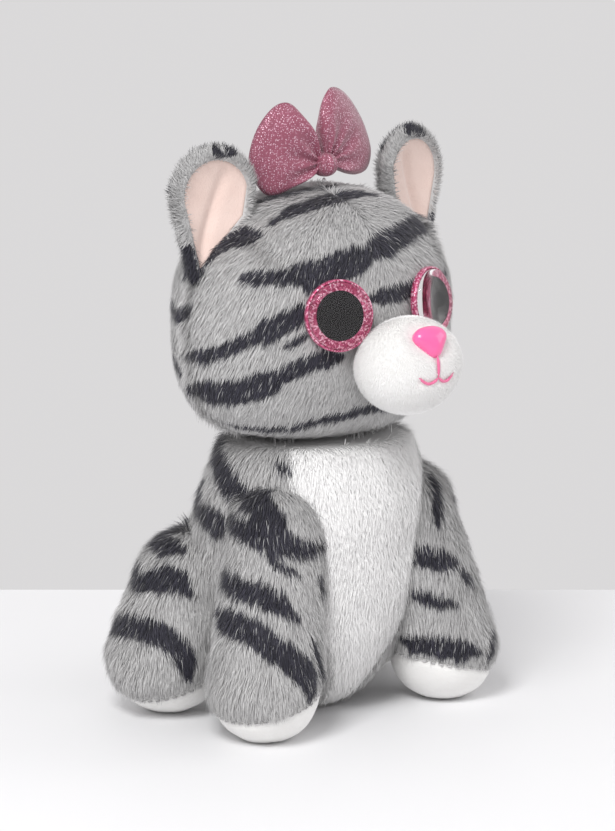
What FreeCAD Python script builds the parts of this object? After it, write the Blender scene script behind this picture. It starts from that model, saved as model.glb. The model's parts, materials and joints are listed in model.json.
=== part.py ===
"""A seated plush cat with a big head, glitter eyes, a bow and four stub legs.

The cat faces -Y, its left side is +X and it stands on z = 0. Lengths are millimetres.
Every stuffed form is a fabric shell with its filling inside, and each limb turns about the middle of its
own round top, so that its pocket in the trunk clears it at any angle.
"""

import math
import os
import re

import FreeCAD
import Part
import Sketcher
from FreeCAD import Placement, Rotation, Vector

OUT = "parts"

# alias, value, what it is
SIZES = [
    ("cloth", 1.6, "fabric thickness with its backing"),
    ("seam_gap", 0.1, "air between pieces of one body that lie on each other"),
    ("joint_gap", 0.6, "air round a limb in its pocket"),
    ("pocket_ease", 0.05, "how much narrower than its ball the straight part of a pocket is"),
    ("trunk_wide", 48, "half width of the trunk"),
    ("trunk_deep", 45, "half depth of the trunk"),
    ("trunk_high", 70, "half height of the trunk before its neck and seat are cut flat"),
    ("trunk_y", 4, "middle of the trunk"),
    ("trunk_z", 66, "middle of the trunk"),
    ("neck_plane", 101, "height at which the trunk ends"),
    ("seat_top", 30, "height of the seat panel's seam"),
    ("bib_top", 58, "width of the bib at the neck"),
    ("bib_low", 44, "width of the bib at the seat panel"),
    ("neck_ball", 20, "radius of the stuffed neck"),
    ("neck_y", 2, "middle of the neck, where the head turns and nods"),
    ("neck_z", 97, "height of the middle of the neck"),
    ("seam_thread", 0.5, "radius of the neck's gathering thread"),
    ("seam_ring", 35, "radius of the ring that the gathering thread makes"),
    ("head_y", 0, "middle of the head"),
    ("head_seam_y", -1, "plane of the seam that holds the ears"),
    ("head_wide", 60, "half width of the head"),
    ("head_deep", 47, "half depth of the head"),
    ("head_high", 50, "half height of the head"),
    ("head_z", 155, "middle of the head"),
    ("muzzle_wide", 21.5, "half width of the muzzle"),
    ("muzzle_deep", 16.5, "half depth of the muzzle"),
    ("muzzle_high", 17.5, "half height of the muzzle"),
    ("muzzle_y", -55.5, "middle of the muzzle"),
    ("muzzle_z", 142, "middle of the muzzle"),
    ("nose_wide", 7.8, "half width of the nose"),
    ("nose_deep", 4.5, "half depth of the nose"),
    ("nose_high", 6.4, "half height of the nose"),
    ("nose_lift", 13, "height of the nose above the muzzle's middle"),
    ("nose_sunk", 1, "depth of the nose's middle under the muzzle's skin"),
    ("nose_tilt", 24, "backward lean of the nose, degrees"),
    ("nose_shank", 1.8, "radius of the nose's shank"),
    ("shank_long", 12, "length of an eye's or the nose's shank"),
    ("washer_wide", 7, "radius of a lock washer"),
    ("washer_thick", 1.2, "thickness of a lock washer"),
    ("mouth_thread", 0.7, "radius of the mouth's thread"),
    ("mouth_half", 8.5, "reach of each side of the smile"),
    ("mouth_bend", 5, "radius of each side of the smile"),
    ("mouth_drop", 1.5, "depth of the smile's middle under the muzzle's middle"),
    ("eye_x", 23, "middle of an eye from the cat's middle"),
    ("eye_z", 161.5, "height of an eye's middle"),
    ("eye_wide", 13.4, "radius of an eye"),
    ("eye_sunk", 1.1, "depth of an eye's back plate in the face panel"),
    ("eye_rim", 1.2, "thickness of an eye's back plate"),
    ("eye_dome", 5.6, "height of the clear dome over the back plate"),
    ("iris_thick", 0.5, "thickness of the glitter ring"),
    ("pupil_wide", 9.2, "radius of a pupil"),
    ("pupil_thick", 0.8, "thickness of a pupil"),
    ("eye_shank", 2.2, "radius of an eye's shank"),
    ("ear_x", 49, "middle of an ear from the cat's middle"),
    ("ear_z", 207, "height of the middle of an ear's round top"),
    ("ear_wide", 18, "radius of an ear's round top"),
    ("ear_yaw", 10, "turn of each ear towards its own side, degrees"),
    ("ear_foot_in", 196, "height of the ear's inner foot"),
    ("ear_foot_out", 173, "height of the ear's outer tip"),
    ("ear_tip_x", 7, "outer tip's distance outside the ear's middle"),
    ("ear_thick", 7, "whole thickness of an ear"),
    ("lining", 1.2, "thickness of the pink lining"),
    ("ear_lift", 2, "air between the ear's foot and the head"),
    ("bow_y", -7, "middle of the bow"),
    ("bow_z", 212, "height of the middle of the bow"),
    ("bow_thick", 8, "thickness of a wing of the bow"),
    ("knot_wide", 4.5, "half width of the bow's knot"),
    ("knot_deep", 5.5, "half depth of the bow's knot"),
    ("knot_high", 4.5, "half height of the bow's knot"),
    ("bow_thread", 0.9, "radius of the stitch that holds the bow"),
    ("wing_long", 30, "reach of the bow's wings"),
    ("wing_low", 7, "depth of the bow's wings under its middle"),
    ("wing_sweep", 16, "backward sweep of the bow's wings, degrees"),
    ("leg_wide", 20.5, "radius of a front leg"),
    ("shoulder_in", 8.5, "how far a front leg reaches in over the neck, seen from the front"),
    ("shoulder_y", -18, "middle of a shoulder"),
    ("shoulder_z", 77, "middle of a shoulder"),
    ("paw_x", 45, "middle of a front paw"),
    ("paw_y", -26, "middle of a front paw"),
    ("paw_z", 19, "middle of a front paw"),
    ("paw_tilt", 14, "outward tilt of a front sole, degrees"),
    ("haunch_wide", 23.5, "radius of a hind leg"),
    ("hip_x", 38, "middle of a hip"),
    ("hip_y", 27, "middle of a hip"),
    ("hip_z", 48, "middle of a hip"),
    ("foot_x", 50, "middle of a hind foot"),
    ("foot_y", 27, "middle of a hind foot"),
    ("foot_z", 22, "middle of a hind foot"),
    ("foot_tilt", 24, "outward tilt of a hind sole, degrees"),
    ("sole_high", 11, "height of a sole's rim at the middle of the leg"),
    ("bean_high", 15, "height of the beans in a foot"),
    ("front_forth", -15, "forward limit of a front leg, degrees"),
    ("front_back", 5, "backward limit of a front leg, degrees"),
    ("hind_forth", -5, "forward limit of a hind leg, degrees"),
    ("hind_back", 12, "backward limit of a hind leg, degrees"),
    ("tail_wide", 8, "radius of the tail"),
    ("tail_y", 38, "middle of the tail's root"),
    ("tail_z", 30, "height of the tail's root"),
    ("tail_bend", 28, "radius of the tail's curl"),
    ("tail_sweep", 85, "how far the tail curls, degrees"),
    ("tail_rise", 20, "rise of the tail at its root, degrees"),
    ("tail_turn", 25, "how far the tail swings each way, degrees"),
    ("pouch_wide", 18, "half width of the pellet pouch"),
    ("pouch_high", 15, "half height of the pellet pouch"),
    ("pouch_z", 20, "middle of the pellet pouch"),
    ("pouch_cloth", 0.6, "thickness of the pouch's non-woven cloth"),
    ("label_long", 13, "how far the care label stands out"),
    ("label_high", 16, "width of the care label"),
    ("label_z", 76, "lower edge of the care label"),
    ("label_thick", 0.6, "thickness of the folded care label"),
    ("stitch_thick", 0.4, "radius of a closing stitch"),
    ("stitch_long", 5, "length of a closing stitch"),
    ("stitch_step", 5, "distance between closing stitches"),
]

REACH = 200  # how far the tools that cut away one side go; the crown above it stays on the face panel
POCKET_STEP = 6  # degrees between the places where a limb's pocket is cut
STITCHES = 5

doc = FreeCAD.newDocument("plush_cat")
sheet = doc.addObject("Spreadsheet::Sheet", "Sizes")
for row, (alias, value, words) in enumerate(SIZES, start=1):
    sheet.set(f"A{row}", words)
    sheet.set(f"B{row}", str(value))
    sheet.setAlias(f"B{row}", alias)
doc.recompute()
nodes = []


def size(alias):
    """A driving dimension's number."""
    return float(sheet.get(alias))


def tied(words):
    """Aliases and arithmetic, written so that FreeCAD finds the aliases in the sheet."""
    return re.sub("[a-z_]+", lambda word: "Sizes." + word[0], str(words))


def number(words):
    """The value of aliases and arithmetic."""
    return float(sheet.evalExpression(tied(words)))


def bind(item, name, words):
    """Ties one property to the sheet."""
    item.setExpression(name, tied(words))


def place(item, words):
    """Ties an object's place to the sheet, one expression for each of x, y and z."""
    for axis, text in zip("xyz", words, strict=True):
        bind(item, f"Placement.Base.{axis}", text)
    return item


def node(item, label):
    """Keeps an object as a sub-part, under the name of its file."""
    item.Label = label
    nodes.append(item)
    return item


def ellipsoid(name, middle, radii):
    item = doc.addObject("Part::Ellipsoid", name)
    for prop, text in zip(("Radius2", "Radius3", "Radius1"), radii, strict=True):
        bind(item, prop, text)
    return place(item, middle)


def sphere(name, middle, radius):
    item = doc.addObject("Part::Sphere", name)
    bind(item, "Radius", radius)
    return place(item, middle)


def box(name, corner, lengths):
    item = doc.addObject("Part::Box", name)
    for prop, text in zip(("Length", "Width", "Height"), lengths, strict=True):
        bind(item, prop, text)
    return place(item, corner)


def rod(name, radius, length, placement):
    """A cylinder along its own Z, laid by a placement."""
    item = doc.addObject("Part::Cylinder", name)
    bind(item, "Radius", radius)
    bind(item, "Height", length)
    item.Placement = placement
    return item


def cut(name, base, tool):
    item = doc.addObject("Part::Cut", name)
    item.Base, item.Tool = base, tool
    return item


def common(name, base, tool):
    item = doc.addObject("Part::Common", name)
    item.Base, item.Tool = base, tool
    return item


def fuse(name, items):
    item = doc.addObject("Part::MultiFuse", name)
    item.Shapes = items
    return item


def mirrored(name, source):
    """The same piece on the cat's other side."""
    item = doc.addObject("Part::Mirroring", name)
    item.Source = source
    item.Normal = Vector(1, 0, 0)
    return item


def above(name, height):
    return box(name, (-REACH, -REACH, height), (2 * REACH, 2 * REACH, 2 * REACH))


def below(name, height):
    return box(name, (-REACH, -REACH, f"{height} - {2 * REACH}"), (2 * REACH, 2 * REACH, 2 * REACH))


def right_of(name, where):
    """Everything on the cat's right of a plane, which is towards -X."""
    return box(name, (f"{where} - {2 * REACH}", -REACH, -REACH), (2 * REACH, 2 * REACH, 2 * REACH))


def behind(name, where):
    return box(name, (-REACH, where, -REACH), (2 * REACH, 2 * REACH, 2 * REACH))


def turned(point, about, degrees):
    """A point after a turn about the line along X through another point."""
    return about + Rotation(Vector(1, 0, 0), degrees).multVec(point - about)


def facing(middle, direction):
    """The placement that lays an object's own Z along a direction."""
    return Placement(middle, Rotation(Vector(0, 0, 1), direction))


def sketch_on(body, plane, name):
    drawing = body.newObject("Sketcher::SketchObject", name)
    origin = next(f for f in body.Origin.OriginFeatures if f.Role == plane)
    drawing.AttachmentSupport = [(origin, "")]
    drawing.MapMode = "FlatFace"
    return drawing


def outline(drawing, corners):
    """Draws a closed outline and ties it to the sheet.

    A corner is (x, y), or (x, y, cx, cy) where an arc about (cx, cy) runs anticlockwise to the next corner.
    """
    count = len(corners)
    spots = [Vector(number(corner[0]), number(corner[1]), 0) for corner in corners]
    centres = [Vector(number(c[2]), number(c[3]), 0) if len(c) > 2 else None for c in corners]
    for i, centre in enumerate(centres):
        start, end = spots[i], spots[(i + 1) % count]
        if centre is None:
            drawing.addGeometry(Part.LineSegment(start, end))
            continue
        begin = math.atan2(start.y - centre.y, start.x - centre.x)
        finish = math.atan2(end.y - centre.y, end.x - centre.x)
        if finish <= begin:
            finish += 2 * math.pi
        circle = Part.Circle(centre, Vector(0, 0, 1), (start - centre).Length)
        drawing.addGeometry(Part.ArcOfCircle(circle, begin, finish))
    for i in range(count):
        drawing.addConstraint(Sketcher.Constraint("Coincident", i, 2, (i + 1) % count, 1))
    for i, corner in enumerate(corners):
        axes = "XY"
        if centres[i - 1] is not None:  # the arc that ends here already fixes one of the two
            spoke = spots[i] - centres[i - 1]
            axes = "Y" if abs(spoke.x) > abs(spoke.y) else "X"
        for axis in axes:
            tie(drawing, "Distance" + axis, i, 1, corner["XY".index(axis)])
        if centres[i] is not None:
            tie(drawing, "DistanceX", i, 3, corner[2])
            tie(drawing, "DistanceY", i, 3, corner[3])


def tie(drawing, kind, geometry, point, words):
    index = drawing.addConstraint(Sketcher.Constraint(kind, geometry, point, number(words)))
    if re.search("[a-z]", str(words)):
        bind(drawing, f"Constraints[{index}]", words)


def revolved(name, corners):
    """A PartDesign body turned about its own Z; the corners are (radius, height)."""
    body = doc.addObject("PartDesign::Body", name)
    drawing = sketch_on(body, "XZ_Plane", name + "_profile")
    outline(drawing, corners)
    turn = body.newObject("PartDesign::Revolution", name + "_turn")
    turn.Profile = drawing
    turn.ReferenceAxis = (drawing, ["V_Axis"])
    turn.Angle = 360
    body.Tip = turn
    return body


def padded_plate(name, corners, thickness):
    """A PartDesign body padded evenly to both sides of its own XZ plane."""
    body = doc.addObject("PartDesign::Body", name)
    drawing = sketch_on(body, "XZ_Plane", name + "_outline")
    outline(drawing, corners)
    pad = body.newObject("PartDesign::Pad", name + "_pad")
    pad.Profile = drawing
    bind(pad, "Length", thickness)
    pad.SideType = "Symmetric"
    body.Tip = pad
    return body


def steps_between(low, high):
    """Evenly spaced angles with both limits."""
    count = math.ceil((high - low) / POCKET_STEP)
    return [low + (high - low) * i / count for i in range(count + 1)]


def capsule(name, radius, bottom, top):
    """A body with two round ends: its lower end's middle is at bottom and its upper one's at top."""
    length = (top - bottom).Length
    body = revolved(
        name,
        [
            (0, f"0 - ({radius})", 0, 0),
            (radius, 0),
            (radius, length, 0, length),
            (0, f"{length} + {radius}"),
        ],
    )
    body.Placement = facing(bottom, top - bottom)
    return body


def limb(name, radius, hip, foot, tilt, limits):
    """A pair of legs, from the left one's hip and foot. Returns the pocket that the left one swings in."""
    outer = common(
        name + "_outer", capsule(name + "_form", radius, foot, hip), above(name + "_floor", "0")
    )
    inner = common(
        name + "_inner",
        capsule(name + "_hollow", f"{radius} - cloth", foot, hip),
        above(name + "_lift", "cloth"),
    )
    shell = cut(name + "_shell", outer, inner)
    down = doc.addObject("Part::Box", name + "_sole_side")
    down.Length = down.Width = down.Height = 2 * REACH
    lean = Rotation(Vector(0, 1, 0), -tilt)
    middle = Vector(foot.x, foot.y, size("sole_high"))
    down.Placement = Placement(middle + lean.multVec(Vector(-REACH, -REACH, -2 * REACH)), lean)
    node(cut(name + "_cover_left", shell, down), f"left_{name}_cover")
    node(common(name + "_sole_left", shell, down), f"left_{name}_sole")
    stuffing = common(
        name + "_stuffing",
        capsule(name + "_core", f"{radius} - cloth - seam_gap", foot, hip),
        above(name + "_core_lift", "cloth + seam_gap"),
    )
    node(common(name + "_beans_left", stuffing, below(name + "_bean_top", "bean_high")), f"left_{name}_beans")
    node(
        common(name + "_filling_left", stuffing, above(name + "_fill_bottom", "bean_high + seam_gap")),
        f"left_{name}_filling",
    )
    for part in list(nodes[-4:]):
        node(mirrored(part.Name + "_other", part), part.Label.replace("left_", "right_", 1))
    feet = [turned(foot, hip, angle) for angle in steps_between(*limits)]
    return pocket(name, radius, hip, [below_hip - hip for below_hip in feet])


def pocket(name, radius, start, directions):
    """The room of a limb that swings about its round end: a ball and a straight piece for every step."""
    tools = [sphere(name + "_pocket", start, f"{radius} + joint_gap")]
    for i, way in enumerate(directions):
        length = f"{way.Length} + {radius}"
        tools.append(rod(f"{name}_pocket_{i}", f"{radius} + joint_gap - pocket_ease", length, facing(start, way)))
    return fuse(name + "_room", tools)


def hollowed(name, form, rooms):
    """A form with several rooms cut out of it."""
    for i, room in enumerate(rooms):
        form = cut(f"{name}_{i}", form, room)
    return form


def legs():
    """Four legs with soles, filling and beans. Returns the four pockets that the trunk needs."""
    shoulder_x = size("neck_ball") + size("leg_wide") - size("shoulder_in")
    shoulder = Vector(shoulder_x, size("shoulder_y"), size("shoulder_z"))
    paw = Vector(size("paw_x"), size("paw_y"), size("paw_z"))
    hip = Vector(size("hip_x"), size("hip_y"), size("hip_z"))
    foot = Vector(size("foot_x"), size("foot_y"), size("foot_z"))
    front_limits = (size("front_forth"), size("front_back"))
    hind_limits = (size("hind_forth"), size("hind_back"))
    front = limb("front_leg", "leg_wide", shoulder, paw, size("paw_tilt"), front_limits)
    hind = limb("hind_leg", "haunch_wide", hip, foot, size("foot_tilt"), hind_limits)
    return [front, hind, mirrored("front_leg_other_room", front), mirrored("hind_leg_other_room", hind)]


def tail():
    """The curled tail. Returns the pocket that it swings in."""
    root = ("0", "tail_y", "tail_z")
    tip = Vector(
        0,
        size("tail_y") + size("tail_bend") * math.sin(math.radians(size("tail_sweep"))),
        size("tail_z") + size("tail_bend") * (1 - math.cos(math.radians(size("tail_sweep")))),
    )

    def form(name, radius):
        curl = doc.addObject("Part::Torus", name + "_curl")
        bind(curl, "Radius1", "tail_bend")
        bind(curl, "Radius2", radius)
        bind(curl, "Angle3", "tail_sweep")
        middle = Vector(0, size("tail_y"), size("tail_z") + size("tail_bend"))
        # the ring's own X points down and its own Y points back, so that it starts at the root
        down_back = Rotation(Vector(0, 0, -1), Vector(0, 1, 0), Vector(1, 0, 0), "XYZ")
        curl.Placement = Placement(middle, down_back)
        end = doc.addObject("Part::Sphere", name + "_end")
        bind(end, "Radius", radius)
        end.Placement.Base = tip
        return fuse(name, [sphere(name + "_root", root, radius), curl, end])

    outer = form("tail_form", "tail_wide")
    node(cut("tail_shell", outer, form("tail_hollow", "tail_wide - cloth")), "tail_cover")
    node(form("tail_core", "tail_wide - cloth - seam_gap"), "tail_filling")
    start = Vector(0, size("tail_y"), size("tail_z"))
    back = Vector(0, 1, math.tan(math.radians(size("tail_rise")))) * size("tail_wide")
    turns = steps_between(-size("tail_turn"), size("tail_turn"))
    return pocket("tail", "tail_wide", start, [Rotation(Vector(0, 0, 1), turn).multVec(back) for turn in turns])


def trunk(pockets):
    """The body: two side panels, bib, seat panel, filling and the pouch of pellets."""
    middle = ("0", "trunk_y", "trunk_z")

    def form(name, less):
        radii = [f"{r} - ({less})" for r in ("trunk_wide", "trunk_deep", "trunk_high")]
        whole = ellipsoid(name + "_whole", middle, radii)
        topped = common(name + "_topped", whole, below(name + "_top", f"neck_plane - ({less})"))
        return common(name, topped, above(name + "_floor", less))

    socket = sphere("neck_socket", ("0", "neck_y", "neck_z"), "neck_ball + joint_gap")
    rooms = pockets + [socket]
    shell = cut("trunk_shell", form("trunk_form", "0"), form("trunk_hollow", "cloth"))
    shell = hollowed("trunk_cover", shell, rooms)
    wedge = padded_plate(
        "bib_wedge",
        [
            ("0 - bib_low / 2", "seat_top"),
            ("bib_low / 2", "seat_top"),
            ("bib_top / 2", "neck_plane"),
            ("0 - bib_top / 2", "neck_plane"),
        ],
        "4 * trunk_deep",
    )
    front = cut("bib_front", wedge, behind("bib_back", "trunk_y"))
    node(common("bib_panel", shell, front), "chest_bib")
    node(common("seat", shell, below("seat_side", "seat_top")), "seat_panel")
    sides = cut("trunk_sides", common("trunk_upper", shell, above("upper_side", "seat_top")), front)
    node(common("side_right", sides, right_of("right_side", "0")), "right_side_panel")
    node(cut("side_left", sides, right_of("left_side", "0")), "left_side_panel")

    pouch_middle = ("0", "trunk_y", "pouch_z")

    def pouch(name, more):
        radii = [f"{r} + {more}" for r in ("pouch_wide", "pouch_wide", "pouch_high")]
        return ellipsoid(name, pouch_middle, radii)

    node(cut("pouch_shell", pouch("pouch_form", "0"), pouch("pouch_hollow", "0 - pouch_cloth")), "pellet_pouch")
    node(pouch("pouch_beans", "0 - pouch_cloth - seam_gap"), "pouch_pellets")
    core = cut("trunk_core_room", form("trunk_core", "cloth + seam_gap"), pouch("pouch_room", "seam_gap"))
    node(hollowed("trunk_stuffing", core, rooms), "body_filling")

    ring = doc.addObject("Part::Torus", "seam_ring_thread")
    bind(ring, "Radius1", "seam_ring")
    bind(ring, "Radius2", "seam_thread")
    node(place(ring, ("0", "trunk_y", "neck_plane + seam_thread + seam_gap")), "neck_gather_thread")
    node(sphere("neck_core", ("0", "neck_y", "neck_z"), "neck_ball"), "neck_filling")


def trunk_back(height):
    """How far back the trunk's skin is on the cat's middle plane."""
    share = (height - size("trunk_z")) / size("trunk_high")
    return size("trunk_y") + size("trunk_deep") * math.sqrt(1 - share * share)


def back_trim():
    """The blank care label and the stitches that close the back seam."""
    label = padded_plate(
        "label_tab",
        [("0", "0"), ("label_thick", "0"), ("label_thick", "label_high"), ("0", "label_high")],
        "label_long",
    )
    low = size("label_z")
    skin = max(trunk_back(low), trunk_back(low + size("label_high")))
    label.Placement.Base = Vector(0, skin + size("label_long") / 2 + size("seam_gap"), low)
    node(label, "care_label")
    items = []
    for i in range(STITCHES):
        height = low - (i + 1) * size("stitch_step")
        back = trunk_back(height) + size("stitch_thick") + size("seam_gap")
        across = facing(Vector(-size("stitch_long") / 2, back, height), Vector(1, 0, 0))
        items.append(rod(f"stitch_{i}", "stitch_thick", "stitch_long", across))
    stitches = doc.addObject("Part::Compound", "stitch_row")
    stitches.Links = items
    node(stitches, "closing_stitches")


def head_form(name, less):
    """The head's outer form, smaller all round by an amount."""
    radii = [f"{r} - ({less})" for r in ("head_wide", "head_deep", "head_high")]
    return ellipsoid(name, ("0", "head_y", "head_z"), radii)


def on_ellipsoid(middle, radii, x, z):
    """The point of an ellipsoid's front at that x and z, and the direction outwards there."""
    share = 1 - ((x - middle.x) / radii.x) ** 2 - ((z - middle.z) / radii.z) ** 2
    y = middle.y - radii.y * math.sqrt(share)
    out = Vector((x - middle.x) / radii.x**2, (y - middle.y) / radii.y**2, (z - middle.z) / radii.z**2)
    return Vector(x, y, z), out.normalize()


def eye(side):
    """One safety eye: back plate with its shank, glitter ring, pupil, clear dome and lock washer.

    Returns what the face panel and the filling must leave free.
    """
    middle = Vector(0, size("head_y"), size("head_z"))
    radii = Vector(size("head_wide"), size("head_deep"), size("head_high"))
    sign = -1 if side == "right" else 1
    spot, out = on_ellipsoid(middle, radii, sign * size("eye_x"), size("eye_z"))
    seat = facing(spot - out * size("eye_sunk"), out)

    def laid(body, label):
        body.Placement = seat
        return node(body, f"{side}_{label}")

    laid(
        revolved(
            side + "_eye_plate",
            [
                ("0", "0 - shank_long"),
                ("eye_shank", "0 - shank_long"),
                ("eye_shank", "0"),
                ("eye_wide", "0"),
                ("eye_wide", "eye_rim"),
                ("0", "eye_rim"),
            ],
        ),
        "eye_back",
    )
    laid(
        revolved(
            side + "_eye_ring",
            [
                ("pupil_wide + seam_gap", "eye_rim + seam_gap"),
                ("eye_wide - iris_thick", "eye_rim + seam_gap"),
                ("eye_wide - iris_thick", "eye_rim + iris_thick"),
                ("pupil_wide + seam_gap", "eye_rim + iris_thick"),
            ],
        ),
        "eye_iris",
    )
    laid(
        revolved(
            side + "_eye_pupil",
            [
                ("0", "eye_rim + seam_gap"),
                ("pupil_wide", "eye_rim + seam_gap"),
                ("pupil_wide", "eye_rim + iris_thick"),
                ("0", "eye_rim + iris_thick"),
            ],
        ),
        "eye_pupil",
    )
    # a dome of that height over that radius is part of a ball
    wide, dome = size("eye_wide"), size("eye_dome")
    ball = (wide * wide + dome * dome) / (2 * dome)
    floor = "eye_rim + iris_thick + seam_gap"
    laid(
        revolved(
            side + "_eye_dome",
            [
                ("0", floor),
                ("eye_wide", floor, "0", f"{floor} + eye_dome - {ball}"),
                ("0", f"{floor} + eye_dome"),
            ],
        ),
        "eye_lens",
    )
    deep = "cloth"
    laid(
        revolved(
            side + "_eye_lock",
            [
                ("eye_shank + seam_gap", f"0 - {deep} - washer_thick"),
                ("washer_wide", f"0 - {deep} - washer_thick"),
                ("washer_wide", f"0 - {deep}"),
                ("eye_shank + seam_gap", f"0 - {deep}"),
            ],
        ),
        "eye_washer",
    )
    room = revolved(
        side + "_eye_room",
        [
            ("0", "0 - shank_long - seam_gap"),
            ("eye_shank + seam_gap", "0 - shank_long - seam_gap"),
            ("eye_shank + seam_gap", f"0 - {deep} - washer_thick - seam_gap"),
            ("washer_wide + seam_gap", f"0 - {deep} - washer_thick - seam_gap"),
            ("washer_wide + seam_gap", f"0 - {deep} + seam_gap"),
            ("eye_shank + seam_gap", f"0 - {deep} + seam_gap"),
            ("eye_shank + seam_gap", "0 - seam_gap"),
            ("eye_wide + seam_gap", "0 - seam_gap"),
            ("eye_wide + seam_gap", "eye_sunk + seam_gap"),
            ("0", "eye_sunk + seam_gap"),
        ],
    )
    room.Placement = seat
    return room


def nose(middle, radii):
    """The nose with its shank and lock washer. Returns the rooms that they need and the nose's lowest point."""
    spot, _ = on_ellipsoid(middle, radii, 0, middle.z + size("nose_lift"))
    tilt = math.radians(size("nose_tilt"))
    out = Vector(0, -math.cos(tilt), math.sin(tilt))
    lock_deep = size("nose_sunk") + size("nose_deep") + 2 * size("washer_thick")

    def inward(depth):
        return facing(spot - out * depth, out)

    def cap(name, more):
        form = doc.addObject("Part::Ellipsoid", name)
        for prop, text in (("Radius2", "nose_wide"), ("Radius3", "nose_high"), ("Radius1", "nose_deep")):
            bind(form, prop, f"{text} + {more}")
        form.Placement = inward(size("nose_sunk"))
        return form

    shank = rod("nose_shank_rod", "nose_shank", "shank_long", inward(size("shank_long")))
    node(fuse("nose_whole", [cap("nose_cap", "0"), shank]), "nose")
    disc = rod("nose_lock_disc", "washer_wide / 2", "washer_thick", inward(lock_deep))
    hole = rod("nose_lock_hole", "nose_shank + seam_gap", "washer_thick", inward(lock_deep))
    node(cut("nose_lock", disc, hole), "nose_washer")
    gap = size("seam_gap")
    rooms = [
        cap("nose_cap_room", "seam_gap"),
        rod("nose_shank_room", "nose_shank + seam_gap", "shank_long", inward(size("shank_long") + gap)),
        rod("nose_lock_room", "washer_wide / 2 + seam_gap", "washer_thick + 2 * seam_gap", inward(lock_deep + gap)),
    ]
    return rooms, spot.z - size("nose_high")


def mouth(middle, radii, top):
    """The mouth's thread: a line down from the nose and two shallow arcs, laid on the muzzle."""
    low = middle.z - size("mouth_drop")
    proud = size("mouth_thread") + 5 * size("seam_gap")

    def laid(x, z):
        spot, out = on_ellipsoid(middle, radii, x, z)
        return spot + out * proud

    start = laid(0, low)
    under_nose = laid(0, top)
    items = [rod("mouth_drop", "mouth_thread", (under_nose - start).Length, facing(start, under_nose - start))]
    half = size("mouth_half") / 2
    spread = 2 * math.asin(half / size("mouth_bend"))
    rise = size("mouth_bend") * math.cos(spread / 2)
    for side, sign in (("right", -1), ("left", 1)):
        end = laid(sign * size("mouth_half"), low)
        along = (end - start).normalize() * sign
        arc = doc.addObject("Part::Torus", f"mouth_{side}")
        bind(arc, "Radius1", "mouth_bend")
        bind(arc, "Radius2", "mouth_thread")
        arc.Angle3 = math.degrees(spread)
        # the ring's own X runs along the muzzle and its own Y runs up
        upright = Rotation(along, Vector(0, 0, 1), along.cross(Vector(0, 0, 1)), "XYZ")
        begin = Rotation(Vector(0, 0, 1), -90 - math.degrees(spread) / 2)
        bow_out = along.cross(Vector(0, 0, 1)) * (size("mouth_thread") + size("seam_gap"))
        arc.Placement = Placement((start + end) / 2 + Vector(0, 0, rise) + bow_out, upright * begin)
        items.append(arc)
    return fuse("mouth", items)


def nose_and_mouth():
    """What is on the muzzle. Returns the room that the nose needs in it."""
    middle = Vector(0, size("muzzle_y"), size("muzzle_z"))
    radii = Vector(size("muzzle_wide"), size("muzzle_deep"), size("muzzle_high"))
    rooms, nose_low = nose(middle, radii)
    node(mouth(middle, radii, nose_low - 2 * size("mouth_thread")), "mouth_stitching")
    return fuse("nose_room", rooms)


def muzzle_form(name, less):
    """The muzzle's outer form, smaller all round by an amount; its own Z points out of the face."""
    item = doc.addObject("Part::Ellipsoid", name)
    for prop, text in (("Radius2", "muzzle_wide"), ("Radius3", "muzzle_high"), ("Radius1", "muzzle_deep")):
        bind(item, prop, f"{text} - ({less})")
    item.Placement.Rotation = Rotation(Vector(1, 0, 0), 90)
    return place(item, ("0", "muzzle_y", "muzzle_z"))


def head():
    """The head's panels and filling, the muzzle, and the face's hard parts."""
    socket = sphere("head_socket", ("0", "neck_y", "neck_z"), "neck_ball + joint_gap")
    outer = head_form("head_outer", "0")
    shell = cut("head_shell", cut("head_skin", outer, head_form("head_hollow", "cloth")), socket)
    muzzle = muzzle_form("muzzle_outer", "0")
    eyes = fuse("eye_rooms", [eye("right"), eye("left")])
    nose_room = nose_and_mouth()

    back_half = behind("head_back_side", "head_seam_y")
    front = cut("face_front", shell, back_half)
    front = cut("face_muzzle_hole", front, muzzle)
    node(cut("face", front, eyes), "face_panel")
    back = common("head_back", shell, back_half)
    node(common("head_back_right", back, right_of("head_right", "0")), "right_back_head_panel")
    node(cut("head_back_left", back, right_of("head_left", "0")), "left_back_head_panel")
    core = cut("head_core_socket", head_form("head_core", "cloth + seam_gap"), socket)
    node(cut("head_stuffing", core, eyes), "head_filling")
    dome = cut("muzzle_dome", cut("muzzle_skin", muzzle, muzzle_form("muzzle_hollow", "cloth")), outer)
    node(cut("muzzle_trim", dome, nose_room), "muzzle_cover")
    plug = cut("muzzle_core_head", muzzle_form("muzzle_core", "cloth + seam_gap"), outer)
    node(cut("muzzle_stuffing", plug, nose_room), "muzzle_filling")


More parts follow.
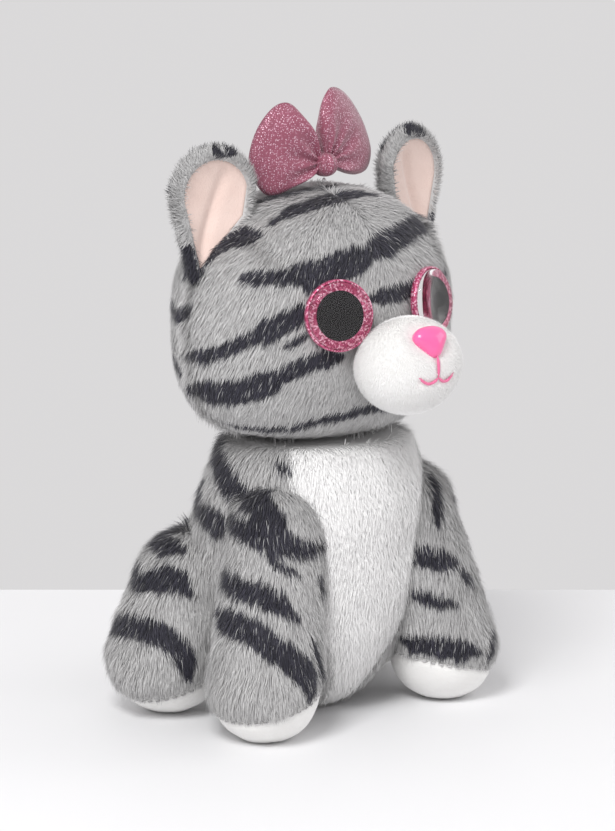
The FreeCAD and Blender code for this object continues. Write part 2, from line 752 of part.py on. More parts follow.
def ears():
    """Each ear is a pink lining and a plush back with a thin padding between them."""
    corners = [
        ("0 - ear_wide - 1", "ear_foot_in"),
        ("ear_tip_x", "ear_foot_out"),
        ("ear_wide - 2", "ear_foot_in"),
        ("ear_wide", "ear_z", "0", "ear_z"),
        ("0 - ear_wide", "ear_z"),
    ]
    clear = head_form("ear_clearance", "0 - ear_lift")
    thick = size("ear_thick")
    layers = [
        ("ear_lining", "lining", (size("lining") - thick) / 2),
        ("ear_padding", "ear_thick - lining - cloth - 2 * seam_gap", (size("lining") - size("cloth")) / 2),
        ("ear_back", "cloth", (thick - size("cloth")) / 2),
    ]
    turn = Rotation(Vector(0, 0, 1), size("ear_yaw"))
    middle = Vector(size("ear_x"), size("head_seam_y"), 0)
    for label, thickness, back in layers:
        plate = padded_plate(label + "_plate", corners, thickness)
        plate.Placement = Placement(middle + turn.multVec(Vector(0, back, 0)), turn)
        left = node(cut(label + "_cut", plate, clear), "left_" + label)
        node(mirrored(label + "_right", left), "right_" + label)


def bow():
    """Two gathered wings, the knot that pinches them and the stitch that holds it to the head."""
    node(ellipsoid("bow_knot_form", ("0", "bow_y", "bow_z"), ("knot_wide", "knot_deep", "knot_high")), "bow_knot")
    knot = ellipsoid(
        "bow_knot_room",
        ("0", "bow_y", "bow_z"),
        ("knot_wide + seam_gap", "knot_deep + seam_gap", "knot_high + seam_gap"),
    )
    inner = f"seam_gap + bow_thick * {math.sin(math.radians(size('wing_sweep'))) / 2}"
    corners = [
        (inner, "0 - knot_high / 2"),
        ("wing_long - knot_wide", "0 - wing_low"),
        ("wing_long", "0", "0", "0"),
        ("2 * knot_wide", math.sqrt(size("wing_long") ** 2 - 4 * size("knot_wide") ** 2)),
        (inner, "knot_high / 2"),
    ]
    for side in ("left", "right"):
        wing = padded_plate(side + "_wing_plate", corners, "bow_thick")
        sweep = Rotation(Vector(0, 0, 1), size("wing_sweep"))
        wing.Placement = Placement(Vector(0, size("bow_y"), size("bow_z")), sweep)
        if side == "right":
            wing = mirrored(side + "_wing_form", wing)
        node(cut(side + "_wing_cut", wing, knot), side + "_bow_wing")
    bottom = size("head_z") + size("head_high") + size("seam_gap")
    length = size("bow_z") - size("knot_high") - size("joint_gap") - bottom
    foot = Placement(Vector(0, size("bow_y"), bottom), Rotation())
    node(rod("bow_thread_rod", "bow_thread", length, foot), "bow_thread")


trunk(legs() + [tail()])
back_trim()
head()
ears()
bow()
doc.recompute()

broken = [o.Name for o in doc.Objects if "Invalid" in o.State or "Error" in o.State]
for item in nodes:
    shape = item.Shape
    if shape.isNull() or not shape.isValid() or not shape.Solids or shape.Volume <= 0:
        broken.append(item.Label)
if broken:
    raise SystemExit(f"these objects failed: {broken}")
os.makedirs(OUT, exist_ok=True)
for item in nodes:
    item.Shape.exportStep(os.path.join(OUT, item.Label + ".step"))
    print(f"{item.Label}: {len(item.Shape.Solids)} solids, {item.Shape.Volume / 1000:.2f} cm3")
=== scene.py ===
import json
import math

import bmesh
import bpy
import numpy as np
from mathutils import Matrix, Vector, noise


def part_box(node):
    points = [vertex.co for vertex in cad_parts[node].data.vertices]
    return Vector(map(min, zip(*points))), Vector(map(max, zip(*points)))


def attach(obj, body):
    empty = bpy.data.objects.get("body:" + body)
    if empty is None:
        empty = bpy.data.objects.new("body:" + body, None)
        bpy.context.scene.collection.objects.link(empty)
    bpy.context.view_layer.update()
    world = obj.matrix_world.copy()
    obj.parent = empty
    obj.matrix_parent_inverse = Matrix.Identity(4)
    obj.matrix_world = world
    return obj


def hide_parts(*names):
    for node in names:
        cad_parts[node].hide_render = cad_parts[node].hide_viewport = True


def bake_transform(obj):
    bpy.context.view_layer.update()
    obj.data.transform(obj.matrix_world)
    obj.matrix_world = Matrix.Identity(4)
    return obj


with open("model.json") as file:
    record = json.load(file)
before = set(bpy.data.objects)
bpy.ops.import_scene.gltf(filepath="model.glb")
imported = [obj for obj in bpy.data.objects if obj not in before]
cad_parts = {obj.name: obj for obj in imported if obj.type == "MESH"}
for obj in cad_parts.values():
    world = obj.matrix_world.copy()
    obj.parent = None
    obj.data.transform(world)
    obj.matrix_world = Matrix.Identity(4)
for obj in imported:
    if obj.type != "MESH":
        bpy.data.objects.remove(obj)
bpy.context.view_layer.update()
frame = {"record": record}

mm = 0.001
hinges = {j["name"]: np.array(j["pos_m"]) / mm for j in frame["record"]["behaviour"]["joints"] if "pos_m" in j}


def span(*names):  # middle and half size of the box that some CAD nodes share, in millimetres
    boxes = [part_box(n) for n in names]
    low = np.min([np.array(b[0]) for b in boxes], axis=0) / mm
    high = np.max([np.array(b[1]) for b in boxes], axis=0) / mm
    return (low + high) / 2, (high - low) / 2


# ---- mesh helpers, all in millimetres until the mesh is made

def meshPiece(name, points, faces, finish, body, smooth=True):
    mesh = bpy.data.meshes.new(name)
    mesh.from_pydata((np.asarray(points, dtype=float) * mm).tolist(), [], [list(f) for f in faces])
    mesh.validate()
    mesh.polygons.foreach_set("use_smooth", [smooth] * len(mesh.polygons))
    mesh.materials.append(finish)
    piece = bpy.data.objects.new(name, mesh)
    bpy.context.scene.collection.objects.link(piece)
    if body:
        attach(piece, body)
    return piece


def outwardPiece(*parts):  # the same, with every face turned outwards
    piece = meshPiece(*parts)
    bm = bmesh.new()
    bm.from_mesh(piece.data)
    bmesh.ops.recalc_face_normals(bm, faces=bm.faces)
    bm.to_mesh(piece.data)
    bm.free()
    piece.data.update()
    return piece


def pointsOf(piece):
    co = np.empty(len(piece.data.vertices) * 3)
    piece.data.vertices.foreach_get("co", co)
    return co.reshape(-1, 3) / mm


def movePoints(piece, points):
    piece.data.vertices.foreach_set("co", (points * mm).ravel())
    piece.data.update()


def normalsOf(piece):
    found = np.empty(len(piece.data.vertices) * 3)
    piece.data.vertices.foreach_get("normal", found)
    return found.reshape(-1, 3)


def setAttribute(piece, name, values, kind="FLOAT"):
    layer = piece.data.attributes.get(name) or piece.data.attributes.new(name, kind, "POINT")
    field = "vector" if kind == "FLOAT_VECTOR" else "value"
    layer.data.foreach_set(field, np.asarray(values, dtype=float).ravel())


def paintBacking(piece, dark, pick=0.4, along=0.5):  # the cloth under the pile has the pile's finish; along sets how much of the pile's painted root shade it takes
    count = len(piece.data.vertices)
    setAttribute(piece, "dark", dark)
    setAttribute(piece, "pick", np.full(count, pick))
    setAttribute(piece, "along", np.full(count, along))


def strip(rows, count, base=0, flip=False):  # faces between rings of points
    faces = []
    for row in range(rows - 1):
        for k in range(count):
            a, b = base + row * count + k, base + row * count + (k + 1) % count
            faces.append((a, a + count, b + count, b) if flip else (a, b, b + count, a + count))
    return faces


def closed(rows, count, base=0, flip=False):  # the same, with both ends capped
    first, last = range(count), range((rows - 1) * count, rows * count)
    ends = (first, reversed(last)) if flip else (reversed(first), last)
    return strip(rows, count, base, flip) + [[base + k for k in end] for end in ends]


def sphereNet(level):
    bm = bmesh.new()
    bmesh.ops.create_icosphere(bm, subdivisions=level, radius=1)
    bm.verts.ensure_lookup_table()
    points = np.array([v.co[:] for v in bm.verts])
    faces = [[v.index for v in f.verts] for f in bm.faces]
    bm.free()
    return points / np.linalg.norm(points, axis=1)[:, None], faces


def reachAlong(form, start, ways, far=140.0):  # where lines from inside a form leave it
    low, high = np.zeros(len(ways)), np.full(len(ways), far)
    for _ in range(24):
        half = (low + high) / 2
        inside = form(start + ways * half[:, None]) < 0
        low, high = np.where(inside, half, low), np.where(inside, high, half)
    return start + ways * half[:, None]


def roundedCone(p, a, b, ra, rb):
    along = b - a
    t = np.clip((p - a) @ along / (along @ along), 0, 1)
    return np.linalg.norm(p - a - t[:, None] * along, axis=1) - (ra + (rb - ra) * t)


def blendMin(d1, d2, soft):
    h = np.clip(0.5 + 0.5 * (d2 - d1) / soft, 0, 1)
    return d2 + (d1 - d2) * h - soft * h * (1 - h)


def roundWays(degrees):  # level directions, 0 to the front and growing to the cat's left
    turn = np.radians(degrees)
    return np.stack([np.sin(turn), -np.cos(turn), 0 * turn], axis=1)


def alongSkin(ways, normals):  # the part of each direction that lies in the skin
    return ways - (ways * normals).sum(1)[:, None] * normals


def smoothStep(x, low, high):
    t = np.clip((x - low) / (high - low), 0, 1)
    return t * t * (3 - 2 * t)


def roughly(points, size, seed):  # smooth noise, -1 to 1, one value per point
    shift = Vector((seed * 7.3, seed * 3.1, seed * 5.7))
    return np.array([noise.noise(Vector(p) / size + shift) for p in points])


def curveThrough(points, steps):  # Catmull-Rom through a few points
    p = np.asarray(points, dtype=float)
    p = np.vstack([2 * p[0] - p[1], p, 2 * p[-1] - p[-2]])
    out = []
    for i in range(1, len(p) - 2):
        for t in np.arange(steps) / steps:
            out.append(0.5 * (2 * p[i] + (p[i + 1] - p[i - 1]) * t
                              + (2 * p[i - 1] - 5 * p[i] + 4 * p[i + 1] - p[i + 2]) * t ** 2
                              + (3 * p[i] - p[i - 1] - 3 * p[i + 1] + p[i + 2]) * t ** 3))
    out.append(p[-2])
    return np.array(out)


def closedCurve(points, steps):  # the same round a closed outline
    p = np.asarray(points, dtype=float)
    n = len(p)
    out = []
    for i in range(n):
        a, b, c, d = p[i - 1], p[i], p[(i + 1) % n], p[(i + 2) % n]
        for t in np.arange(steps) / steps:
            out.append(0.5 * (2 * b + (c - a) * t + (2 * a - 5 * b + 4 * c - d) * t ** 2
                              + (3 * b - a - 3 * c + d) * t ** 3))
    return np.array(out)


# ---- finishes

def finishOf(name, **values):
    mat = bpy.data.materials.new(name)
    mat.use_nodes = True
    for label, value in values.items():
        shaderOf(mat).inputs[label.replace("_", " ")].default_value = value
    return mat


def addNode(mat, kind, **settings):
    node = mat.node_tree.nodes.new(kind)
    for label, value in settings.items():
        setattr(node, label, value)
    return node


def link(mat, a, b):
    mat.node_tree.links.new(a, b)


def shaderOf(mat):
    return mat.node_tree.nodes["Principled BSDF"]


def colourBy(mat, socket):
    link(mat, socket, shaderOf(mat).inputs["Base Color"])


def mixColour(mat, share, a, b):  # a and b are colours or sockets
    node = addNode(mat, "ShaderNodeMix", data_type="RGBA")
    for socket, value in ((node.inputs[6], a), (node.inputs[7], b)):
        if isinstance(value, tuple):
            socket.default_value = (*value, 1)
        else:
            link(mat, value, socket)
    if isinstance(share, float):
        node.inputs[0].default_value = share
    else:
        link(mat, share, node.inputs[0])
    return node.outputs[2]


def noiseSocket(mat, scale, detail=3.0, rough=0.6):
    coords = addNode(mat, "ShaderNodeTexCoord")
    tex = addNode(mat, "ShaderNodeTexNoise")
    tex.inputs["Scale"].default_value = scale
    tex.inputs["Detail"].default_value = detail
    tex.inputs["Roughness"].default_value = rough
    link(mat, coords.outputs["Object"], tex.inputs["Vector"])
    return tex.outputs["Fac"]


def bumpFrom(mat, height, strength, distance):
    node = addNode(mat, "ShaderNodeBump")
    node.inputs["Strength"].default_value = strength
    node.inputs["Distance"].default_value = distance
    link(mat, height, node.inputs["Height"])
    link(mat, node.outputs["Normal"], shaderOf(mat).inputs["Normal"])
    return node


def attributeSocket(mat, name):
    return addNode(mat, "ShaderNodeAttribute", attribute_name=name).outputs["Fac"]


def stripedPlush():  # grey pile with printed dark bars, each hair a little different, and painted shade that darkens each hair towards its root
    mat = finishOf("stripedPlush", Roughness=0.72, Sheen_Weight=0.25, Sheen_Roughness=0.5,
                   Specular_IOR_Level=0.3)
    pick, along, dark = (attributeSocket(mat, n) for n in ("pick", "along", "dark"))
    grey = mixColour(mat, pick, (0.46, 0.455, 0.455), (0.66, 0.655, 0.65))
    navy = mixColour(mat, pick, (0.012, 0.012, 0.018), (0.050, 0.048, 0.070))
    whole = mixColour(mat, dark, grey, navy)
    # painted shade: each hair's root is mixed 30% towards near-black, fading out towards the tip
    root = mixColour(mat, 0.3, whole, (0.05, 0.05, 0.055))
    colourBy(mat, mixColour(mat, along, root, whole))
    return mat


def whitePlush():
    mat = finishOf("whitePlush", Roughness=0.75, Sheen_Weight=0.3, Sheen_Roughness=0.5,
                   Specular_IOR_Level=0.25)
    pick, along = (attributeSocket(mat, n) for n in ("pick", "along"))
    tint = mixColour(mat, pick, (0.90, 0.895, 0.89), (0.95, 0.945, 0.94))
    # painted shade: each white hair's root is mixed 10% towards grey, fading out towards the tip
    root = mixColour(mat, 0.1, tint, (0.7, 0.7, 0.7))
    colourBy(mat, mixColour(mat, along, root, tint))
    return mat


def velour(name, low, high):  # short brushed pile: soft mottling and a very fine nap
    mat = finishOf(name, Roughness=0.85, Sheen_Weight=0.5, Sheen_Roughness=0.45, Specular_IOR_Level=0.15)
    colourBy(mat, mixColour(mat, noiseSocket(mat, 90.0), low, high))
    bumpFrom(mat, noiseSocket(mat, 1500.0, 2.0), 0.35, 0.0006)
    return mat


def cellsOf(mat, scale, spread=1.0):  # small cells, each with its own random colour
    coords = addNode(mat, "ShaderNodeTexCoord")
    cells = addNode(mat, "ShaderNodeTexVoronoi", feature="F1")
    cells.inputs["Scale"].default_value = scale
    cells.inputs["Randomness"].default_value = spread
    link(mat, coords.outputs["Object"], cells.inputs["Vector"])
    split = addNode(mat, "ShaderNodeSeparateColor")
    link(mat, cells.outputs["Color"], split.inputs["Color"])
    return cells, split


def sparkleCloth():  # pink cloth printed all over with small foil dots
    mat = finishOf("pinkSparkleCloth", Roughness=0.5, Sheen_Weight=0.3)
    cells, split = cellsOf(mat, 1500.0, 0.75)
    dots = addNode(mat, "ShaderNodeMapRange")
    for label, value in (("From Min", 0.30), ("From Max", 0.38), ("To Min", 1.0), ("To Max", 0.0)):
        dots.inputs[label].default_value = value
    link(mat, cells.outputs["Distance"], dots.inputs["Value"])
    cloth = mixColour(mat, noiseSocket(mat, 60.0), (0.22, 0.050, 0.090), (0.30, 0.075, 0.120))
    foil = mixColour(mat, split.outputs["Red"], (0.42, 0.14, 0.22), (0.85, 0.60, 0.70))
    colourBy(mat, mixColour(mat, dots.outputs["Result"], cloth, foil))
    shine = addNode(mat, "ShaderNodeMath", operation="MULTIPLY")
    link(mat, dots.outputs["Result"], shine.inputs[0])
    shine.inputs[1].default_value = 0.75
    link(mat, shine.outputs[0], shaderOf(mat).inputs["Metallic"])
    tilt = addNode(mat, "ShaderNodeMath", operation="ADD")
    link(mat, cells.outputs["Distance"], tilt.inputs[0])
    link(mat, split.outputs["Green"], tilt.inputs[1])
    bumpFrom(mat, tilt.outputs[0], 0.35, 0.0004)
    return mat


def glitter():  # fine pink flakes cast in clear plastic
    mat = finishOf("pinkGlitter", Roughness=0.3, Metallic=0.35)
    cells, split = cellsOf(mat, 1700.0)
    ramp = addNode(mat, "ShaderNodeValToRGB")
    stops = ramp.color_ramp.elements
    stops[0].position, stops[0].color = 0.0, (0.30, 0.015, 0.07, 1)
    stops[1].position, stops[1].color = 1.0, (0.95, 0.62, 0.74, 1)
    middle = stops.new(0.62)
    middle.color = (0.58, 0.10, 0.22, 1)
    link(mat, split.outputs["Red"], ramp.inputs["Fac"])
    colourBy(mat, ramp.outputs["Color"])
    bumpFrom(mat, split.outputs["Green"], 0.5, 0.0003)
    return mat


def plasticOf(name, low, high, rough, coat=0.6):
    mat = finishOf(name, Roughness=rough, Coat_Weight=coat, Coat_Roughness=0.05)
    colourBy(mat, mixColour(mat, noiseSocket(mat, 120.0), low, high))
    return mat


def clearPlastic():
    mat = finishOf("clearDome", Roughness=0.02, Transmission_Weight=1.0, IOR=1.18)
    shaderOf(mat).inputs["Base Color"].default_value = (1.0, 0.99, 0.99, 1)
    return mat


def threadOf(name, low, high):
    mat = finishOf(name, Roughness=0.6, Sheen_Weight=0.4)
    colourBy(mat, mixColour(mat, noiseSocket(mat, 900.0), low, high))
    return mat


plush = stripedPlush()
bibPlush = whitePlush()
whiteVelour = velour("whiteVelour", (0.83, 0.82, 0.80), (0.90, 0.895, 0.885))
pinkVelour = velour("pinkVelour", (0.74, 0.56, 0.50), (0.82, 0.66, 0.60))
bowCloth = sparkleCloth()
eyeGlitter = glitter()
pupilBlack = plasticOf("pupilBlack", (0.003, 0.003, 0.004), (0.008, 0.008, 0.009), 0.2, 0.0)
domeClear = clearPlastic()
nosePink = plasticOf("nosePink", (0.92, 0.10, 0.33), (0.96, 0.15, 0.40), 0.28)
mouthThread = threadOf("mouthThread", (0.70, 0.10, 0.26), (0.88, 0.20, 0.38))
seamThread = threadOf("seamThread", (0.45, 0.44, 0.45), (0.75, 0.74, 0.74))
labelSatin = threadOf("labelSatin", (0.80, 0.80, 0.79), (0.90, 0.90, 0.89))
print("finishes made")

# ---- the pile: short curved hairs scattered on a skin by Geometry Nodes

bladeWidths = {"root": 1.0, "middle": 0.85, "bend": 0.07, "tip": -0.05}


def makeBlade():  # one hair, one unit long and wide, bowed a little
    w, m = bladeWidths["root"] / 2, bladeWidths["middle"] / 2
    points = [(-w, 0, 0), (w, 0, 0), (m, bladeWidths["bend"], 0.5), (-m, bladeWidths["bend"], 0.5),
              (0, bladeWidths["tip"], 1)]
    mesh = bpy.data.meshes.new("hair")
    mesh.from_pydata(points, [], [(0, 1, 2, 3), (3, 2, 4)])
    # along runs from 0 at the root to 1 at the tip; the pile finishes use it for their painted root shade
    along = mesh.attributes.new("along", "FLOAT", "POINT")
    along.data.foreach_set("value", [0.0, 0.0, 0.6, 0.6, 1.0])
    mesh.polygons.foreach_set("use_smooth", [True] * 2)
    return bpy.data.objects.new("hair", mesh)


def pileTree():
    tree = bpy.data.node_groups.new("plushPile", "GeometryNodeTree")
    face = tree.interface
    for label, kind in (("Skin", "Geometry"), ("Hair", "Object"), ("Density", "Float"), ("Width", "Float"),
                        ("Length", "Float"), ("Ruffle", "Float"), ("Seed", "Int"), ("Finish", "Material")):
        face.new_socket(name=label, in_out="INPUT", socket_type="NodeSocket" + kind)
    face.new_socket(name="Pile", in_out="OUTPUT", socket_type="NodeSocketGeometry")
    new, join = tree.nodes.new, tree.links.new

    def calc(operation, a, b=None, kind="ShaderNodeMath"):
        node = new(kind)
        node.operation = operation
        for socket, value in zip(node.inputs, (a, b)):
            if value is None:
                continue
            if isinstance(value, (int, float)):
                socket.default_value = value
            else:
                join(value, socket)
        return node

    def named(label, kind="FLOAT"):
        node = new("GeometryNodeInputNamedAttribute")
        node.data_type = kind
        node.inputs["Name"].default_value = label
        return node.outputs["Attribute"]

    def chance(low, high, seedShift, kind="FLOAT"):
        node = new("FunctionNodeRandomValue")
        node.data_type = kind
        sockets = [s for s in node.inputs if s.name in ("Min", "Max") and s.enabled]
        sockets[0].default_value, sockets[1].default_value = low, high
        join(calc("ADD", given.outputs["Seed"], seedShift).outputs[0],
             [s for s in node.inputs if s.name == "Seed"][0])
        return [s for s in node.outputs if s.enabled][0]

    given, result = new("NodeGroupInput"), new("NodeGroupOutput")
    scatter = new("GeometryNodeDistributePointsOnFaces")
    scatter.distribute_method = "RANDOM"
    join(given.outputs["Skin"], scatter.inputs["Mesh"])
    join(calc("MULTIPLY", given.outputs["Density"], named("cover")).outputs[0], scatter.inputs["Density"])
    join(given.outputs["Seed"], scatter.inputs["Seed"])

    def stored(geometry, label, value, kind):
        node = new("GeometryNodeStoreNamedAttribute")
        node.data_type = kind
        node.inputs["Name"].default_value = label
        join(geometry, node.inputs["Geometry"])
        join(value, [s for s in node.inputs if s.name == "Value" and s.enabled][0])
        return node.outputs["Geometry"]

    spot = new("GeometryNodeInputPosition").outputs[0]
    dots = stored(scatter.outputs["Points"], "root", spot, "FLOAT_VECTOR")
    dots = stored(dots, "pick", chance(0.0, 1.0, 11), "FLOAT")

    def scaled(vector, factor):
        node = calc("SCALE", vector, None, "ShaderNodeVectorMath")
        if isinstance(factor, (int, float)):
            node.inputs["Scale"].default_value = factor
        else:
            join(factor, node.inputs["Scale"])
        return node.outputs[0]

    ruffle = scaled(chance((-1, -1, -1), (1, 1, 1), 23, "FLOAT_VECTOR"), given.outputs["Ruffle"])
    lifted = scaled(scatter.outputs["Normal"], calc("MULTIPLY", named("lift"), chance(0.5, 1.5, 37)).outputs[0])
    way = calc("ADD", named("flow", "FLOAT_VECTOR"), lifted, "ShaderNodeVectorMath").outputs[0]
    way = calc("ADD", way, ruffle, "ShaderNodeVectorMath").outputs[0]
    turn = new("FunctionNodeAxesToRotation")
    turn.primary_axis, turn.secondary_axis = "Z", "Y"
    join(way, turn.inputs["Primary Axis"])
    join(scatter.outputs["Normal"], turn.inputs["Secondary Axis"])
    size = new("ShaderNodeCombineXYZ")
    stretch = calc("MULTIPLY", named("long"), chance(0.65, 1.25, 53)).outputs[0]
    long = calc("MULTIPLY", given.outputs["Length"], stretch)
    join(calc("MULTIPLY", given.outputs["Width"], chance(0.7, 1.2, 71)).outputs[0], size.inputs["X"])
    join(long.outputs[0], size.inputs["Y"])
    join(long.outputs[0], size.inputs["Z"])
    hair = new("GeometryNodeObjectInfo")
    join(given.outputs["Hair"], hair.inputs["Object"])
    plant = new("GeometryNodeInstanceOnPoints")
    join(dots, plant.inputs["Points"])
    join(hair.outputs["Geometry"], plant.inputs["Instance"])
    join(turn.outputs[0], plant.inputs["Rotation"])
    join(size.outputs[0], plant.inputs["Scale"])
    real = new("GeometryNodeRealizeInstances")
    join(plant.outputs["Instances"], real.inputs["Geometry"])
    coat = new("GeometryNodeSetMaterial")
    join(real.outputs["Geometry"], coat.inputs["Geometry"])
    join(given.outputs["Finish"], coat.inputs["Material"])
    join(coat.outputs["Geometry"], result.inputs["Pile"])
    return tree


hairBlade = makeBlade()
bpy.context.scene.collection.objects.link(hairBlade)
pileNodes = pileTree()


def runTree(source, name, tree, values):  # a tree's result as a plain mesh
    carrier = bpy.data.objects.new(name + "Source", source)
    bpy.context.scene.collection.objects.link(carrier)
    grow = carrier.modifiers.new("grow", "NODES")
    grow.node_group = tree
    sockets = {s.name: s.identifier for s in tree.interface.items_tree if s.in_out == "INPUT"}
    for label, value in values.items():
        grow[sockets[label]] = value
    graph = bpy.context.evaluated_depsgraph_get()
    seen = carrier.evaluated_get(graph)
    mesh = bpy.data.meshes.new_from_object(seen, preserve_all_data_layers=True, depsgraph=graph)
    bpy.data.objects.remove(carrier)
    mesh.name = name
    return mesh


def growPile(name, skin, look, finish, cover, flow, lift, long, stripes=None, seed=1):
    base = skin.data.copy()
    holder = bpy.data.objects.new(name + "Base", base)
    for label, values in (("cover", cover), ("lift", lift), ("long", long)):
        setAttribute(holder, label, np.broadcast_to(values, len(base.vertices)))
    setAttribute(holder, "flow", flow, "FLOAT_VECTOR")
    mesh = runTree(base, name, pileNodes, {
        "Hair": hairBlade, "Density": look["perSquareMm"] / mm ** 2, "Width": look["width"] * mm,
        "Length": look["length"] * mm, "Ruffle": look["ruffle"], "Seed": seed, "Finish": finish})
    bpy.data.objects.remove(holder)
    pile = bpy.data.objects.new(name, mesh)
    bpy.context.scene.collection.objects.link(pile)
    each = len(hairBlade.data.vertices)
    roots = np.empty(len(mesh.vertices) * 3)
    mesh.attributes["root"].data.foreach_get("vector", roots)
    roots = roots.reshape(-1, each, 3)[:, 0] / mm
    dark = np.zeros(len(roots)) if stripes is None else darkness(roots, stripes, seed)
    setAttribute(pile, "dark", np.repeat(dark, each))
    for extra in ("root", "flow", "cover", "lift", "long"):
        if extra in mesh.attributes:
            mesh.attributes.remove(mesh.attributes[extra])
    mesh.polygons.foreach_set("use_smooth", [True] * len(mesh.polygons))
    print(name, len(roots), "hairs")
    return pile


# ---- printed bars: each is a few places along its middle and a width, laid on the skin

printing = {"feather": 0.9, "rag": 1.0, "ragSize": 2.2, "stray": 0.05, "wider": 1.22}


def darkness(points, bars, seed):  # 1 inside a printed bar, 0 outside, with a ragged edge
    gap = np.full(len(points), 99.0)
    for line, widths in bars:
        near = np.where((points > line.min(0) - 12).all(1) & (points < line.max(0) + 12).all(1))[0]
        if len(near) == 0:
            continue
        p = points[near]
        best = gap[near]
        for a, b, wa, wb in zip(line, line[1:], widths, widths[1:]):
            along = b - a
            t = np.clip((p - a) @ along / max(along @ along, 1e-6), 0, 1)
            off = np.linalg.norm(p - a - t[:, None] * along, axis=1)
            best = np.minimum(best, off - (wa + (wb - wa) * t) / 2)
        gap[near] = best
    close = np.where(np.abs(gap) < 3)[0]
    gap[close] += printing["rag"] * roughly(points[close], printing["ragSize"], seed)
    dark = 1 - smoothStep(gap, -printing["feather"] / 2, printing["feather"] / 2)
    chance = np.random.default_rng(seed).random(len(points))
    return np.where((dark > 0.5) & (chance < printing["stray"]), 0.35, dark)


def barsOn(onSkin, table):  # (width, places) to lines on the skin with tapering widths
    made = []
    for width, places in table:
        flat = curveThrough(places, 5)
        share = np.linspace(0, 1, len(flat))
        taper = np.clip(np.minimum(share, 1 - share) * 5, 0.25, 1) ** 0.6
        made.append((onSkin(flat), width * printing["wider"] * taper))
    return made


# ---- head

headMiddle, headHalf = span("face_panel", "left_back_head_panel", "right_back_head_panel")
headForm = {"inset": 2.4, "deep": 47.0, "roundTop": 2.25, "roundLow": 3.1, "seamDeep": 1.3, "seamWide": 3.2}
headMiddle[1] = 0.0


def headField(p):
    q = (p - headMiddle) / (headHalf * [1, 0, 1] + [0, headForm["deep"], 0] - headForm["inset"])
    low = smoothStep(-q[:, 2], -0.25, 0.35)
    power = headForm["roundTop"] + (headForm["roundLow"] - headForm["roundTop"]) * low
    return (np.hypot(q[:, 0], q[:, 1]) ** power + np.abs(q[:, 2]) ** power) ** (1 / power) - 1


def headWays(places):  # degrees round from the face and degrees up
    turn, up = np.radians(np.asarray(places, dtype=float).T)
    return np.stack([np.sin(turn) * np.cos(up), -np.cos(turn) * np.cos(up), np.sin(up)], axis=1)


def onHead(places):
    return reachAlong(headField, headMiddle, headWays(places))


headBars = [
    (4.0, [(-96, 56), (-70, 68), (-25, 80), (55, 80)]),
    (5.0, [(-64, 48), (-46, 60), (-15, 68), (25, 69), (50, 62)]),
    (8.0, [(-90, 27), (-82, 36), (-68, 42)]),
    (5.0, [(-68, 22), (-56, 24), (-44, 26)]),
    (9.5, [(-50, 26), (-35, 27), (-22, 32), (-5, 37)]),
    (7.5, [(-12, 35), (5, 40), (20, 42), (45, 42), (62, 36)]),
    (5.6, [(-12, 15), (4, 16), (29, 17), (52, 17)]),
    (4.0, [(44, 8), (60, 6)]),
    (7.0, [(-38, 12), (-51, 6), (-62, 0)]),
    (4.6, [(-57, 3), (-66, -2), (-78, -7), (-96, -10)]),
    (2.6, [(-50, -4), (-38, 2)]),
    (8.5, [(-94, -22), (-76, -22), (-63, -20), (-48, -15)]),
    (6.0, [(-55, -17), (-41, -12), (-26, -11)]),
    (3.8, [(-84, -38), (-54, -41), (-29, -39), (0, -38), (25, -40)]),
    (5.0, [(-112, 8), (-98, 5), (-88, 10)]),
    (5.0, [(-106, 30), (-94, 20)]),
    (4.5, [(-112, -14), (-98, -17)]),
    (3.5, [(-110, -30), (-98, -30)]),
    (7.0, [(39, 11), (55, 4), (75, -4), (98, -9)]),
    (7.0, [(24, -14), (45, -15), (70, -21), (96, -24)]),
    (6.0, [(62, 26), (85, 22), (98, 26)]),
    (3.8, [(48, -40), (85, -36)]),
    (8.0, [(68, 43), (82, 37), (90, 28)]),
    (6.0, [(118, 46), (150, 52), (180, 48), (215, 52), (246, 44)]),
    (7.0, [(114, 24), (150, 18), (180, 24), (205, 18), (242, 26)]),
    (7.0, [(124, -2), (160, -8), (190, -3), (236, 0)]),
    (6.0, [(116, -26), (150, -30), (185, -25), (220, -31), (246, -25)]),
    (5.0, [(138, 70), (180, 74), (222, 69)]),
]
headSeams = [  # the panel seams behind the ears and up the back, and the dart that starts at each ear
    [(-93, 62), (-93, 40), (-93, 15), (-93, -10), (-94, -30), (-96, -52)],
    [(93, 62), (93, 40), (93, 15), (93, -10), (94, -30), (96, -52)],
    [(180, 80), (180, 40), (180, 0), (180, -50)],
    [(-70, 40), (-60, 34), (-50, 30)],
    [(70, 40), (60, 34), (50, 30)],
]


def nearLines(points, lines):
    gap = np.full(len(points), 99.0)
    for line in lines:
        for a, b in zip(line, line[1:]):
            along = b - a
            t = np.clip((points - a) @ along / max(along @ along, 1e-6), 0, 1)
            gap = np.minimum(gap, np.linalg.norm(points - a - t[:, None] * along, axis=1))
    return gap


def ragged(p, seed):  # a few longer locks among the pile
    return 1 + 0.45 * smoothStep(roughly(p, 6.0, seed), 0.15, 0.55)


def downFlow(points, normals, lean=None):  # the lie of the pile: down along the skin
    pull = np.zeros_like(points)
    pull[:, 2] = -1
    if lean is not None:
        pull = pull + lean
    flow = alongSkin(pull, normals)
    size = np.linalg.norm(flow, axis=1)[:, None]
    flow = flow / np.maximum(size, 0.25)
    swirl = np.cross(normals, flow)
    turn = 0.35 * roughly(points, 14.0, 3)[:, None] + 0.2 * roughly(points, 5.0, 4)[:, None]
    return flow + swirl * turn


def starSkin(name, form, middle, level, finish, body):
    ways, faces = sphereNet(level)
    return meshPiece(name, reachAlong(form, np.asarray(middle, dtype=float), ways), faces, finish, body)


